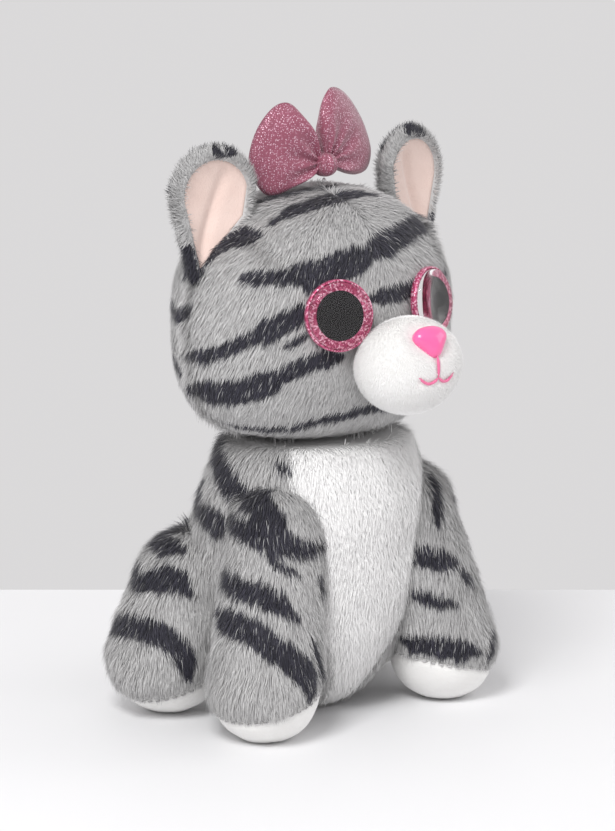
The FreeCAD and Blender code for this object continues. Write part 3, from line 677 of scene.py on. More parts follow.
headSkin = starSkin("headSkin", headField, headMiddle, 6, plush, None)
points, normals = pointsOf(headSkin), normalsOf(headSkin)
seamLines = [onHead(curveThrough(places, 4)) for places in headSeams]
seamGap = nearLines(points, seamLines)
points = points - normals * (headForm["seamDeep"] * np.exp(-(seamGap / headForm["seamWide"]) ** 2))[:, None]
points = points + normals * (0.5 * roughly(points, 16.0, 8))[:, None]
movePoints(headSkin, points)
paintBacking(headSkin, darkness(points, barsOn(onHead, headBars), 5))

eyeSpots = {side: np.array(span(f"{side}_eye_back")[0]) for side in ("left", "right")}
muzzleMiddle, muzzleHalf = span("muzzle_cover")
pileLook = {"perSquareMm": 5.0, "width": 0.32, "length": 5.2, "ruffle": 0.16}


def clearOfFace(p):  # no pile under the eyes and the muzzle
    keep = np.ones(len(p))
    for spot in eyeSpots.values():
        keep *= smoothStep(np.linalg.norm(p - spot, axis=1), 11.0, 12.6)
    inMuzzle = np.linalg.norm((p - muzzleMiddle - [0, 2, 0]) / (muzzleHalf + [0, 6, 0]), axis=1)
    return keep * smoothStep(inMuzzle, 0.86, 0.95)


def headPile(name, front, seed):
    p, n = pointsOf(headSkin), normalsOf(headSkin)
    side = p[:, 1] < 2 if front else p[:, 1] >= 2
    gap = nearLines(p, seamLines)
    lean = np.zeros_like(p)
    lean[:, 0] = np.sign(p[:, 0]) * 0.25
    lean[:, 1] = 0.25
    long = (0.9 + 0.35 * np.exp(-(gap / 3.5) ** 2)) * ragged(p, seed) ** 0.7
    nearFace = np.linalg.norm(p - muzzleMiddle, axis=1)
    long *= 0.6 + 0.4 * smoothStep(nearFace, 22, 45)
    lift = 0.22 + 0.6 * np.exp(-(gap / 2.5) ** 2)
    low = smoothStep(-p[:, 2], -118, -108)
    return growPile(name, headSkin, pileLook, plush, side * clearOfFace(p) * (1 - 0.8 * (p[:, 2] < 106.5)),
                    downFlow(p, n, lean), lift - 0.1 * low, long, barsOn(onHead, headBars), seed)


faceFur = headPile("faceFur", True, 21)
napeFur = headPile("napeFur", False, 22)
for piece in (headSkin, faceFur, napeFur):  # bake each piece's placement into its mesh
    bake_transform(piece)
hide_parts("face_panel", "left_back_head_panel", "right_back_head_panel", "head_filling")
print("head made")


# ---- trunk

bodyPileLook = {"perSquareMm": 4.6, "width": 0.34, "length": 5.8, "ruffle": 0.18}
bibPileLook = {"perSquareMm": 6.0, "width": 0.32, "length": 4.2, "ruffle": 0.2}
bodyLift = 0.3
trunkMiddle, trunkHalf = np.array([0.0, 4.0, 66.0]), np.array([48.0, 45.0, 70.0])
trunkShape = {"inset": 2.6, "scale": 42, "top": 108.5, "soft": 3.0, "bottom": 2.2, "lean": 7.0}
trunkHeart = np.array([0.0, 4.0, 58.0])


def smoothMax(a, b, soft):
    return -blendMin(-a, -b, soft)


def trunkField(p):
    chest = trunkShape["lean"] * smoothStep(p[:, 2], 55.0, 108.0)
    q = (p - trunkMiddle + np.stack([0 * chest, chest, 0 * chest], axis=1)) / (trunkHalf - trunkShape["inset"])
    side = (np.linalg.norm(q, axis=1) - 1) * trunkShape["scale"]
    lid = p[:, 2] - trunkShape["top"]
    floorSide = trunkShape["bottom"] - p[:, 2]
    return np.maximum(smoothMax(side, lid, trunkShape["soft"]), floorSide)


def onTrunk(places):  # degrees round from the chest and height
    turn, up = np.asarray(places, dtype=float).T
    heart = np.stack([np.zeros(len(turn)), np.full(len(turn), trunkMiddle[1]), up], axis=1)
    return reachAlong(trunkField, heart, roundWays(turn))


trunkBars = [
    (8.5, [(-46, 80), (-62, 87), (-80, 96), (-98, 103), (-118, 107)]),
    (7.5, [(-60, 76), (-85, 81), (-108, 84), (-124, 89)]),
    (3.0, [(-43, 102), (-54, 105)]),
    (6.5, [(-112, 92), (-140, 84), (-168, 88), (-180, 84), (-196, 88), (-222, 83), (-250, 92)]),
    (6.5, [(-125, 72), (-150, 64), (-180, 66), (-212, 63), (-238, 71)]),
    (6.5, [(-130, 50), (-158, 42), (-180, 45), (-205, 42), (-232, 50)]),
    (6.0, [(-135, 28), (-160, 20), (-180, 24), (-200, 20), (-226, 28)]),
    (8.5, [(48, 80), (64, 88), (82, 96), (100, 102), (118, 106)]),
    (7.5, [(62, 76), (86, 82), (108, 83), (122, 88)]),
    (4.0, [(-180, 104), (-180, 88)]),
]
trunkSkin = starSkin("trunkSkin", trunkField, trunkHeart, 6, plush, None)
points, normals = pointsOf(trunkSkin), normalsOf(trunkSkin)
points = points + normals * (0.6 * roughly(points, 18.0, 31))[:, None]
movePoints(trunkSkin, points)
bars = barsOn(onTrunk, trunkBars)
paintBacking(trunkSkin, darkness(points, bars, 6))


def bibShare(p):  # 1 on the white chest
    turn = np.degrees(np.abs(np.arctan2(p[:, 0], -(p[:, 1] - trunkMiddle[1]))))
    edge = np.interp(p[:, 2], [20, 35, 55, 67, 85, 100], [20, 28, 36, 43, 46, 48])
    return 1 - smoothStep(turn + 2.0 * roughly(p, 7.0, 13), edge - 2.5, edge + 2.5)


legLook = {  # radii at the hinge and foot, the sole's slant and height, and the middle of the left foot
    "front": {"top": 17.6, "foot": 20.8, "tilt": 14.0, "sole": 15.0, "middle": (45.0, -26.0, 19.0)},
    "hind": {"top": 22.0, "foot": 22.8, "tilt": 22.0, "sole": 14.5, "middle": (50.0, 27.0, 22.0)},
}


def signOf(side):
    return -1.0 if side == "right" else 1.0


def legEnds(side, which):
    return hinges[f"{side}_{which}_leg_swing"], np.array(legLook[which]["middle"]) * [signOf(side), 1, 1]


def hiddenByLegs(p, slack):  # 1 where a leg covers the trunk
    deep = np.full(len(p), 99.0)
    for side in ("left", "right"):
        for which in ("front", "hind"):
            look = legLook[which]
            deep = np.minimum(deep, roundedCone(p, *legEnds(side, which), look["top"], look["foot"]))
    return 1 - smoothStep(deep, -slack - 1, -slack + 1)


p, n = pointsOf(trunkSkin), normalsOf(trunkSkin)
exposed = (1 - hiddenByLegs(p, 3.0)) * smoothStep(p[:, 2], 2.6, 4.5) * (1 - smoothStep(p[:, 2], 107.3, 108.6))
trunkFur = growPile("trunkFur", trunkSkin, bodyPileLook, plush, exposed * (1 - bibShare(p)),
                    downFlow(p, n), bodyLift, ragged(p, 15), bars, 31)
bibFur = growPile("bibFur", trunkSkin, bibPileLook, bibPlush, exposed * bibShare(p),
                  downFlow(p, n), bodyLift, 1.0, None, 32)
for piece in (trunkSkin, trunkFur, bibFur):  # bake each piece's placement into its mesh
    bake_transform(piece)
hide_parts("right_side_panel", "left_side_panel", "chest_bib", "seat_panel", "body_filling",
            "pellet_pouch", "pouch_pellets", "neck_filling")
print("trunk made")

# ---- legs

stitchLook = {"step": 3.4, "long": 2.1, "thick": 0.33}


def thread(name, line, finish, body, look, outward):  # a running stitch along a line, half of each stitch sunk
    step = np.linalg.norm(np.diff(line, axis=0), axis=1)
    far = np.concatenate([[0], np.cumsum(step)])
    count = max(1, int(far[-1] / look["step"]))
    points, faces = [], []
    ring, rows = 6, 5
    for i in range(count):
        mid = (i + 0.5) * far[-1] / count
        at = [np.array([np.interp(mid + s * look["long"] / 2, far, line[:, k]) for k in range(3)])
              for s in (-1, -0.5, 0, 0.5, 1)]
        up = outward(at[2])
        way = at[4] - at[0]
        way = way / max(np.linalg.norm(way), 1e-6)
        across = np.cross(way, up)
        across = across / max(np.linalg.norm(across), 1e-6)
        base = len(points)
        for row, (spot, rise) in enumerate(zip(at, (-0.7, 0.25, 0.5, 0.25, -0.7))):
            thick = look["thick"] * (0.55 if row in (0, rows - 1) else 1)
            for k in range(ring):
                turn = 2 * math.pi * k / ring
                points.append(spot + up * (rise * look["thick"] * 1.6 + math.sin(turn) * thick)
                              + across * math.cos(turn) * thick)
        faces += closed(rows, ring, base, flip=True)
    return meshPiece(name, points, faces, finish, body)


def outFrom(middle):
    return lambda spot: (spot - middle) / np.linalg.norm(spot - middle)


def makeLeg(side, which, bars, seed):
    hinge, foot = legEnds(side, which)
    look = legLook[which]
    body = f"{side}_{which}_leg"
    tilt = math.radians(look["tilt"])
    soleUp = np.array([signOf(side) * math.sin(tilt), 0, math.cos(tilt)])
    soleSpot = np.array([foot[0], foot[1], look["sole"]])
    heart = hinge * 0.35 + foot * 0.65

    def form(p):
        return np.maximum(roundedCone(p, hinge, foot, look["top"], look["foot"]), 0.5 - p[:, 2])

    def aboveSole(p):
        return (p - soleSpot) @ soleUp

    def onLeg(places):  # degrees round from the front and height
        turn, up = np.asarray(places, dtype=float).T
        share = np.clip((up - foot[2]) / (hinge[2] - foot[2]), -0.3, 1)[:, None]
        axis = foot + (hinge - foot) * share
        axis[:, 2] = up
        return reachAlong(form, axis, roundWays(turn))

    skin = starSkin(f"{body}_skin", form, heart, 5, plush, None)
    p, n = pointsOf(skin), normalsOf(skin)
    under = 1 - smoothStep(aboveSole(p), 0.0, 2.0)
    p = p - n * (1.4 * under)[:, None] + n * (0.5 * roughly(p, 12.0, seed))[:, None] * (1 - under)[:, None]
    p[:, 2] = np.maximum(p[:, 2], 1.6 * under)
    movePoints(skin, p)
    lines = barsOn(onLeg, bars)
    paintBacking(skin, darkness(p, lines, seed))
    n = normalsOf(skin)
    q = (p - trunkMiddle) / (trunkHalf - trunkShape["inset"])
    buried = 1 - smoothStep((np.linalg.norm(q, axis=1) - 1) * trunkShape["scale"], -5.0, -3.0)
    cover = smoothStep(aboveSole(p), 2.5, 4.0) * (1 - buried)
    fur = growPile(f"{body}_fur", skin, bodyPileLook, plush, cover, downFlow(p, n), bodyLift,
                   ragged(p, seed) - 0.45 * (1 - smoothStep(aboveSole(p), 2, 14)), lines, seed)
    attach(skin, body)
    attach(fur, body)

    # the sole: a velour cup whose top edge tucks under the pile
    ways, faces = sphereNet(5)
    cup = reachAlong(lambda x: np.maximum(form(x), aboveSole(x) - 1.2), foot - soleUp * 6.0, ways)
    nearRim = smoothStep(aboveSole(cup), -2.5, 1.0)
    out = cup - foot
    out[:, 2] *= 0.3
    out = out / np.maximum(np.linalg.norm(out, axis=1), 1e-6)[:, None]
    cup = cup - out * (1.6 * nearRim)[:, None]
    sole = meshPiece(f"{body}_soleCloth", cup, faces, whiteVelour, body)
    p2, n2 = pointsOf(sole), normalsOf(sole)
    crease = np.exp(-(np.abs(p2[:, 2] - 1.5) / 1.6) ** 2)
    movePoints(sole, p2 + n2 * (0.35 * roughly(p2, 9.0, seed + 3) - 0.3 * crease)[:, None])
    rim = []
    for turn in np.radians(np.arange(0, 361, 6)):
        flat = np.array([math.cos(turn), math.sin(turn), 0.0])
        flat = flat - soleUp * (flat @ soleUp)
        flat = flat / np.linalg.norm(flat)
        start = soleSpot - soleUp * 0.6
        rim.append(reachAlong(form, start, flat[None, :])[0] - flat * 0.2)
    rim = np.array(rim)
    thread(f"{body}_soleStitch", rim, seamThread, body, stitchLook, outFrom(foot))
    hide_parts(f"{body}_cover", f"{body}_filling", f"{body}_beans")
    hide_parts(f"{body}_sole")


rightFrontBars = [
    (8.0, [(-125, 97), (-100, 93), (-78, 91), (-50, 87), (-30, 82)]),
    (6.5, [(-135, 84), (-110, 84), (-85, 83), (-55, 80), (-20, 77), (25, 76)]),
    (2.5, [(-53, 75), (-14, 67)]),
    (7.5, [(-118, 66), (-98, 64), (-75, 62), (-45, 60), (-14, 52)]),
    (8.5, [(-112, 51), (-92, 50), (-72, 49), (-45, 45), (-17, 37), (5, 29), (14, 18)]),
    (3.0, [(8, 43), (20, 35), (33, 25)]),
    (3.5, [(18, 66), (26, 58)]),
    (6.0, [(150, 60), (190, 55), (225, 60)]),
    (6.0, [(140, 35), (185, 30), (230, 36)]),
    (6.0, [(80, 50), (110, 44), (140, 48)]),
]
leftFrontBars = [
    (7.0, [(100, 90), (70, 86), (38, 83)]),
    (3.5, [(8, 92), (0, 86), (-2, 76)]),
    (7.0, [(-66, 66), (-40, 65), (-18, 63), (6, 60)]),
    (3.2, [(8, 58), (24, 50)]),
    (4.5, [(-60, 50), (-35, 47), (-8, 44)]),
    (8.0, [(-80, 30), (-55, 28), (-28, 27), (2, 24)]),
    (4.0, [(14, 20), (34, 30)]),
    (6.0, [(50, 66), (80, 62), (110, 66)]),
    (6.0, [(50, 44), (85, 38), (120, 44)]),
    (6.0, [(150, 60), (190, 55), (225, 60)]),
    (6.0, [(140, 32), (185, 28), (230, 34)]),
]
rightHindBars = [
    (7.0, [(-158, 73), (-120, 68), (-90, 67), (-50, 66)]),
    (7.5, [(-135, 58), (-92, 55), (-63, 58), (-36, 53)]),
    (8.0, [(-120, 34), (-95, 39), (-62, 38), (-35, 32), (-18, 22)]),
    (6.0, [(-180, 52), (-160, 48), (-140, 52)]),
    (6.0, [(-195, 30), (-165, 26), (-140, 30)]),
]


def mirroredBars(table):  # not quite alike, as on cut cloth
    return [(width, [(4 - turn, up + 2) for turn, up in places]) for width, places in table]


makeLeg("right", "front", rightFrontBars, 41)
makeLeg("left", "front", leftFrontBars, 42)
makeLeg("right", "hind", rightHindBars, 43)
makeLeg("left", "hind", mirroredBars(rightHindBars), 44)
print("legs made")

# ---- tail

tailLook = {"root": (0, 38, 30), "bend": 28.0, "sweep": 85.0, "thick": 6.6}
tailBars = [0.18, 0.42, 0.66, 0.9]


def makeTail():
    steps, ring = 40, 28
    root = np.array(tailLook["root"], dtype=float)
    points = []
    angles = np.linspace(-0.12, math.radians(tailLook["sweep"]), steps)
    middles = np.stack([0 * angles, root[1] + tailLook["bend"] * np.sin(angles),
                        root[2] + tailLook["bend"] * (1 - np.cos(angles))], axis=1)
    ways = np.stack([0 * angles, np.cos(angles), np.sin(angles)], axis=1)
    cap = 9
    rows = []
    for i in range(cap):
        turn = math.pi / 2 * (1 - i / cap)
        rows.append((middles[0] - ways[0] * math.sin(turn) * tailLook["thick"], math.cos(turn), ways[0]))
    rows += [(middle, 1.0, way) for middle, way in zip(middles, ways)]
    for i in range(1, cap + 1):
        turn = math.pi / 2 * i / cap
        rows.append((middles[-1] + ways[-1] * math.sin(turn) * tailLook["thick"], math.cos(turn), ways[-1]))
    for middle, share, way in rows:
        up = np.cross(way, [1, 0, 0])
        for k in range(ring):
            turn = 2 * math.pi * k / ring
            points.append(middle + (np.array([1, 0, 0]) * math.cos(turn) + up * math.sin(turn))
                          * tailLook["thick"] * max(share, 0.04))
    skin = outwardPiece("tailSkin", points, closed(len(rows), ring), plush, None)
    p, n = pointsOf(skin), normalsOf(skin)
    lines = []
    for spot in tailBars:
        angle = math.radians(tailLook["sweep"]) * spot
        way = np.array([0, math.cos(angle), math.sin(angle)])
        up = np.cross(way, [1, 0, 0])
        middle = root + [0, tailLook["bend"] * math.sin(angle), tailLook["bend"] * (1 - math.cos(angle))]
        turns = np.radians(np.arange(0, 361, 15))
        loop = middle + (np.outer(np.cos(turns), [1, 0, 0]) + np.outer(np.sin(turns), up)) * tailLook["thick"]
        lines.append((loop, np.full(len(loop), 4.5)))
    paintBacking(skin, darkness(p, lines, 51))
    angle = np.arctan2(p[:, 1] - root[1], root[2] + tailLook["bend"] - p[:, 2])
    flow = alongSkin(np.stack([0 * angle, np.cos(angle), np.sin(angle)], axis=1), n)
    cover = smoothStep(p[:, 1], 44.0, 46.0)
    fur = growPile("tailFur", skin, bodyPileLook, plush, cover, flow, 0.35, 1.0, lines, 51)
    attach(skin, "tail")
    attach(fur, "tail")
    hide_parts("tail_cover", "tail_filling")


makeTail()
print("tail made")

# ---- ears

earLook = {"x": 48.5, "z": 204.0, "wide": 16.8, "footIn": (34.5, 194.0), "tip": (56.5, 173.0), "yaw": 10.0,
           "thick": 6.2, "rim": 3.0, "dip": 2.2, "y": -1.0}


def earOutline(shrink):  # x from the cat's middle and z, counter-clockwise seen from the front of the left ear
    cx, cz, r = earLook["x"], earLook["z"], earLook["wide"] - shrink
    turns = np.radians(np.arange(-22, 176, 9))
    arc = np.stack([cx + r * np.cos(turns), cz + r * np.sin(turns)], axis=1)
    inner, tip = np.array(earLook["footIn"]), np.array(earLook["tip"])
    middle = np.array([cx, cz])
    inner = inner + (middle - inner) / np.linalg.norm(middle - inner) * shrink
    tip = tip + (middle - tip) / np.linalg.norm(middle - tip) * shrink * 1.2
    line = np.linspace(inner, tip, 12)
    return np.vstack([arc, line, np.linspace(tip, arc[0], 7)[1:-1]])


def makeEar(side, seed):
    sign = signOf(side)
    yaw = math.radians(earLook["yaw"])
    body = f"{side}_ear"

    def stand(flat, depth):  # x, z and a depth in front of the ear's own plane
        x = flat[:, 0] - earLook["x"]
        y = -depth
        turned = np.stack([earLook["x"] + x * math.cos(yaw) - y * math.sin(yaw),
                           earLook["y"] + x * math.sin(yaw) + y * math.cos(yaw), flat[:, 1]], axis=1)
        turned[:, 0] *= sign
        return turned

    # back and rim: rings from the edge of the lining round the rim to the middle of the back
    half = earLook["thick"] / 2
    profile = [(earLook["rim"] + 3.0, -1.8), (earLook["rim"] + 0.9, -0.8), (earLook["rim"] + 0.4, half - 0.8),
               (earLook["rim"] - 0.5, half), (1.6, half * 0.95),
               (0.5, half * 0.6), (0.0, 0.0), (0.5, -half * 0.6), (1.8, -half * 0.92), (4.0, -half),
               (7.0, -half - 0.3), (10.5, -half - 0.5), (14.0, -half - 0.5)]
    rows = [stand(earOutline(s), np.full(len(earOutline(s)), d)) for s, d in profile]
    count = len(rows[0])
    centre = np.array([[earLook["x"] + 0.5, earLook["z"] - 1]])
    points = np.vstack(rows + [stand(centre, np.array([-half - 0.5]))])
    last = len(points) - 1
    base = (len(rows) - 1) * count
    faces = strip(len(rows), count)
    faces += [(base + k, base + (k + 1) % count, last) for k in range(count)]
    faces.append([k for k in reversed(range(count))])
    back = outwardPiece(f"{body}_furBack", points, faces, plush, None)
    p, n = pointsOf(back), normalsOf(back)
    outward = p - np.array([sign * earLook["x"], earLook["y"], earLook["z"] - 6])
    dark = np.where((p[:, 2] > 218) & (np.abs(p[:, 0]) < 52) & (p[:, 1] < 2), 1.0, 0.0)
    foot = smoothStep(-p[:, 2], -190, -183)
    dark = np.maximum(dark * 0.8, foot * (p[:, 1] > -2))
    bars = []
    for low, high in (((36, 214), (60, 219)), ((40, 202), (64, 206))):
        line = stand(np.linspace(low, high, 8), np.full(8, -half - 0.5))
        bars.append((line, np.full(8, 4.5)))
    # along 0.6 gives the ear's backing part of the pile's painted root shade
    paintBacking(back, np.maximum(dark, darkness(p, bars, seed)), 0.5, 0.6)
    onRim = np.exp(-(np.abs(p[:, 1] - earLook["y"]) / 4.0) ** 2)
    flow = alongSkin(outward, n)
    flow = flow / np.maximum(np.linalg.norm(flow, axis=1), 1e-6)[:, None]
    frontish = n[:, 1] < -0.7
    rimShare = np.ones(len(p))
    rimShare[:3 * count] = 0
    furLook = {"perSquareMm": 5.5, "width": 0.28, "length": 3.8, "ruffle": 0.35}
    fur = growPile(f"{body}_fur", back, furLook, plush, rimShare, flow,
                   0.35 + 0.5 * onRim, np.where(frontish, 0.55, 1.0), bars, seed)
    each = len(hairBlade.data.vertices)
    roots = pointsOf(fur).reshape(-1, each, 3)[:, 0]
    old = np.empty(len(fur.data.vertices))
    fur.data.attributes["dark"].data.foreach_get("value", old)
    patchy = roughly(roots, 5.0, seed) > -0.1
    top = (roots[:, 2] > 217.5) & (np.abs(roots[:, 0]) < 55) & patchy
    low = (roots[:, 2] < 188) & (roots[:, 1] > earLook["y"] - 2)
    setAttribute(fur, "dark", np.maximum(old, np.repeat((top | low).astype(float), each)))

    # lining: a cupped panel with a fold up its middle
    rings = 9
    rows, edge = [], earOutline(earLook["rim"])
    middle = np.array([earLook["x"] + 0.5, earLook["z"] - 5])
    for i in range(rings):
        share = i / (rings - 0.5)
        flat = edge + (middle - edge) * share
        across = (flat - middle) @ np.array([0.94, 0.34])
        crease = 1.6 * np.exp(-(across / 2.2) ** 2) * smoothStep(np.full(len(flat), share), 0.0, 0.35)
        depth = half - 1.0 - earLook["dip"] * (1 - (1 - share) ** 2) - crease + 0.25 * share
        rows.append(stand(flat, depth))
    points = np.vstack(rows + [stand(middle[None, :], np.array([half - 1.0 - earLook["dip"] - 1.3]))])
    behind = stand(edge, np.full(len(edge), half - 4.6))
    start = len(points)
    points = np.vstack([points, behind])
    base = (rings - 1) * count
    faces = strip(rings, count)
    faces += [(base + k, base + (k + 1) % count, start - 1) for k in range(count)]
    faces += [(k, start + k, start + (k + 1) % count, (k + 1) % count) for k in range(count)]
    faces.append([start + k for k in range(count)])
    lining = outwardPiece(f"{body}_pinkLining", points, faces, pinkVelour, body)
    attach(back, body)
    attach(fur, body)
    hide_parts(f"{body}_back", f"{body}_padding")
    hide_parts(f"{body}_lining")


makeEar("right", 61)
makeEar("left", 62)
print("ears made")


# ---- muzzle, nose and mouth

noseMiddle, noseHalf = span("nose")
mouthMiddle, mouthHalf = span("mouth_stitching")
muzzleLook = {"level": 6, "grow": 0.3, "dimple": 1.5, "crease": 0.5, "deep": 16.5}


def muzzleField(p):
    q = (p - muzzleMiddleFull) / (muzzleRadii + muzzleLook["grow"])
    return np.linalg.norm(q, axis=1) - 1


muzzleRadii = np.array([muzzleHalf[0], muzzleLook["deep"], muzzleHalf[2]])
muzzleMiddleFull = np.array([0.0, muzzleMiddle[1] - muzzleHalf[1] + muzzleLook["deep"], muzzleMiddle[2]])
muzzleSkin = starSkin("muzzleSkin", muzzleField, muzzleMiddleFull, muzzleLook["level"], whiteVelour, "head")
p, n = pointsOf(muzzleSkin), normalsOf(muzzleSkin)
mouthZ = mouthMiddle[2] - mouthHalf[2]
noseSpot = np.array([0.0, noseMiddle[1] - noseHalf[1] + 2.0, noseMiddle[2] + noseHalf[2] - 6.4])
dent = np.exp(-(np.linalg.norm((p - noseSpot) / [9.5, 9.0, 8.0], axis=1)) ** 4) * muzzleLook["dimple"]
smileZ = mouthZ + 1.5 + 0 * p[:, 0]
front = p[:, 1] < muzzleMiddleFull[1] - 5
smile = np.exp(-((p[:, 2] - smileZ) / 1.4) ** 2) * (np.abs(p[:, 0]) < 9.0) * front
drop = np.exp(-(p[:, 0] / 1.3) ** 2) * (p[:, 2] > mouthZ) * (p[:, 2] < noseSpot[2]) * front
p = p - n * (dent + muzzleLook["crease"] * np.maximum(smile, drop))[:, None]
p = p + n * (0.22 * roughly(p, 11.0, 71))[:, None]
movePoints(muzzleSkin, p)
shortNap = {"perSquareMm": 9.0, "width": 0.16, "length": 1.1, "ruffle": 0.35}


def addNap(name, piece, look, finish, body, share, seed):  # the short brushed pile of the velour pieces
    flow = downFlow(pointsOf(piece), normalsOf(piece))
    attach(growPile(name, piece, look, finish, share, flow, 1.1, 1.0, None, seed), body)


clear = 1 - np.exp(-(np.linalg.norm((p - noseSpot) / [8.5, 9.0, 7.5], axis=1)) ** 6)
clear = clear * (1 - 0.9 * np.maximum(smile, drop))
addNap("muzzleNap", muzzleSkin, shortNap, bibPlush, "head", clear * (p[:, 1] < -42), 72)
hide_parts("muzzle_cover", "muzzle_filling")


def onMuzzle(x, z, proud=0.0):
    q = ((x / muzzleRadii[0]) ** 2 + ((z - muzzleMiddleFull[2]) / muzzleRadii[2]) ** 2)
    y = muzzleMiddleFull[1] - muzzleRadii[1] * math.sqrt(max(0.0, 1 - q)) - proud
    return np.array([x, y, z])


def tube(name, lines, radius, finish, body, strands=0):
    points, faces = [], []
    ring = 10
    for line in lines:
        line = np.asarray(line)
        base = len(points)
        way = np.gradient(line, axis=0)
        way /= np.linalg.norm(way, axis=1)[:, None]
        for i, (spot, along) in enumerate(zip(line, way)):
            side = np.cross(along, [0, 1, 0.001])
            side /= max(np.linalg.norm(side), 1e-6)
            up = np.cross(side, along)
            ends = min(1.0, 0.35 + 0.65 * min(i, len(line) - 1 - i) / 2)
            for k in range(ring):
                turn = 2 * math.pi * k / ring
                ply = 1 + 0.13 * math.cos(strands * turn + i * 0.9)
                points.append(spot + (side * math.cos(turn) + up * math.sin(turn)) * radius * ends * ply)
        faces += closed(len(line), ring, base, flip=True)
    return outwardPiece(name, points, faces, finish, body)


noseLook = {"half": 7.7, "high": 12.2, "deep": 4.4, "tilt": 24.0, "sunk": 3.2, "drop": 0.6, "under": 6.2}


def makeNose():  # a rounded triangle, wide at the top, domed to the front
    rings, steps = 14, 48
    tilt = math.radians(noseLook["tilt"])
    out = np.array([0, -math.cos(tilt), math.sin(tilt)])
    up = np.array([0, math.sin(tilt), math.cos(tilt)])
    seat = np.array([0, noseMiddle[1] - noseHalf[1], noseMiddle[2] + noseHalf[2] - noseLook["under"]])
    seat = seat - out * noseLook["sunk"]
    seat[2] -= noseLook["drop"]
    points = []
    for i in range(rings):
        rise = math.pi / 2 * i / (rings - 1)
        for k in range(steps):
            turn = 2 * math.pi * k / steps
            x, z = math.cos(turn), math.sin(turn)
            narrow = 1 - 0.30 * smoothStep(np.array([-z]), -0.5, 1.0)[0]
            lobe = 1 + 0.06 * math.cos(3 * (turn - math.pi / 2) + math.pi)
            share = max(math.cos(rise), 0.01)
            points.append(seat + np.array([1, 0, 0]) * x * narrow * lobe * noseLook["half"] * share
                          + up * z * lobe * noseLook["high"] / 2 * share
                          + out * math.sin(rise) ** 0.9 * noseLook["deep"])
    faces = strip(rings, steps)
    faces.append([(rings - 1) * steps + k for k in range(steps)])
    back = len(points)
    for k in range(steps):
        points.append(np.array(points[k]) * 0.9 + seat * 0.1 - out * 2.2)
    for k in range(steps):
        a, b = k, (k + 1) % steps
        faces.append((back + a, back + b, b, a))
    faces.append([back + k for k in reversed(range(steps))])
    piece = outwardPiece("noseButton", points, faces, nosePink, "head")
    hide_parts("nose", "nose_washer")


makeNose()
mouthLook = {"half": 8.5, "dip": 2.3, "thick": 0.55, "proud": 0.35}
noseLow = noseMiddle[2] + noseHalf[2] - noseLook["high"]
lines = [[onMuzzle(0, z, mouthLook["proud"]) for z in np.linspace(noseLow, mouthZ + 2.4, 9)]]
for sign in (-1, 1):
    arc = []
    for t in np.linspace(0, 1, 15):
        x = sign * mouthLook["half"] * t
        z = mouthZ + 2.5 - mouthLook["dip"] * math.sin(math.pi * min(1.0, t * 1.04)) ** 0.9 + 0.6 * t
        arc.append(onMuzzle(x, z, mouthLook["proud"]))
    lines.append(arc)
mouthPiece = tube("mouthStitching", lines, mouthLook["thick"], mouthThread, "head", strands=3)
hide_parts("mouth_stitching")
print("muzzle made")

# ---- eyes

eyeLook = {"wide": 13.5, "pupil": 9.1, "dome": 5.2, "x": 23.0, "z": 161.5, "sunk": 1.1}
faceRadii, faceMiddle = np.array([60.0, 47.0, 50.0]), np.array([0.0, 0.0, 155.0])


def turnedShape(name, profile, seat, out, finish, body, steps=72):
    up = np.cross(out, [1, 0, 0])
    up /= np.linalg.norm(up)
    side = np.cross(up, out)
    points = []
    for radius, height in profile:
        for k in range(steps):
            turn = 2 * math.pi * k / steps
            way = side * math.cos(turn) + up * math.sin(turn)
            points.append(seat + way * max(radius, 0.01) + out * height)
    return outwardPiece(name, points, closed(len(profile), steps), finish, body)


def makeEye(side):
    spot = np.array([eyeLook["x"] * signOf(side), 0.0, eyeLook["z"]])
    share = (spot - faceMiddle) / faceRadii
    spot[1] = -faceRadii[1] * math.sqrt(1 - share @ share)
    out = (spot - faceMiddle) / faceRadii ** 2
    out /= np.linalg.norm(out)
    seat = spot - out * eyeLook["sunk"]
    w, black = eyeLook["wide"], eyeLook["pupil"]
    rim = [(w - 3, -1.0), (w - 0.6, -0.8), (w, -0.1), (w, 1.2), (w - 0.2, 1.7), (w - 0.6, 1.9), (w - 0.9, 1.7),
           (w - 1.0, 1.2), (w - 1.0, 0.2), (w - 3, 0.0)]
    ring = turnedShape(f"{side}_eyeRim", rim, seat, out, eyeGlitter, "head")
    iris = [(w - 1.05, 0.3), (w - 1.05, 1.0), (w - 1.4, 1.25), (black + 0.2, 1.4), (black - 0.3, 1.4),
            (black - 0.6, 0.3)]
    sparkle = turnedShape(f"{side}_eyeGlitter", iris, seat, out, eyeGlitter, "head")
    pupilLine = [(black, 1.45), (black, 1.58), (black - 0.15, 1.66)]
    pupilLine += [(black * t, 1.66 + 0.1 * (1 - t)) for t in (0.8, 0.5, 0.2, 0.02)]
    pupil = turnedShape(f"{side}_eyePupil", pupilLine, seat, out, pupilBlack, "head")
    dome = [(w - 1.3, 1.85)]
    dome += [((w - 1.1) * math.cos(t), 2.0 + (eyeLook["dome"] - 2.0 + 0.6) * math.sin(t))
             for t in np.linspace(0.0, 1.56, 20)]
    lens = turnedShape(f"{side}_eyeDome", dome, seat, out, domeClear, "head")
    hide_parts(f"{side}_eye_back", f"{side}_eye_washer")
    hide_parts(f"{side}_eye_iris")
    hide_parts(f"{side}_eye_pupil")
    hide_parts(f"{side}_eye_lens")


makeEye("right")
makeEye("left")
print("eyes made")

# ---- bow: two gathered loops and the knot that pinches them

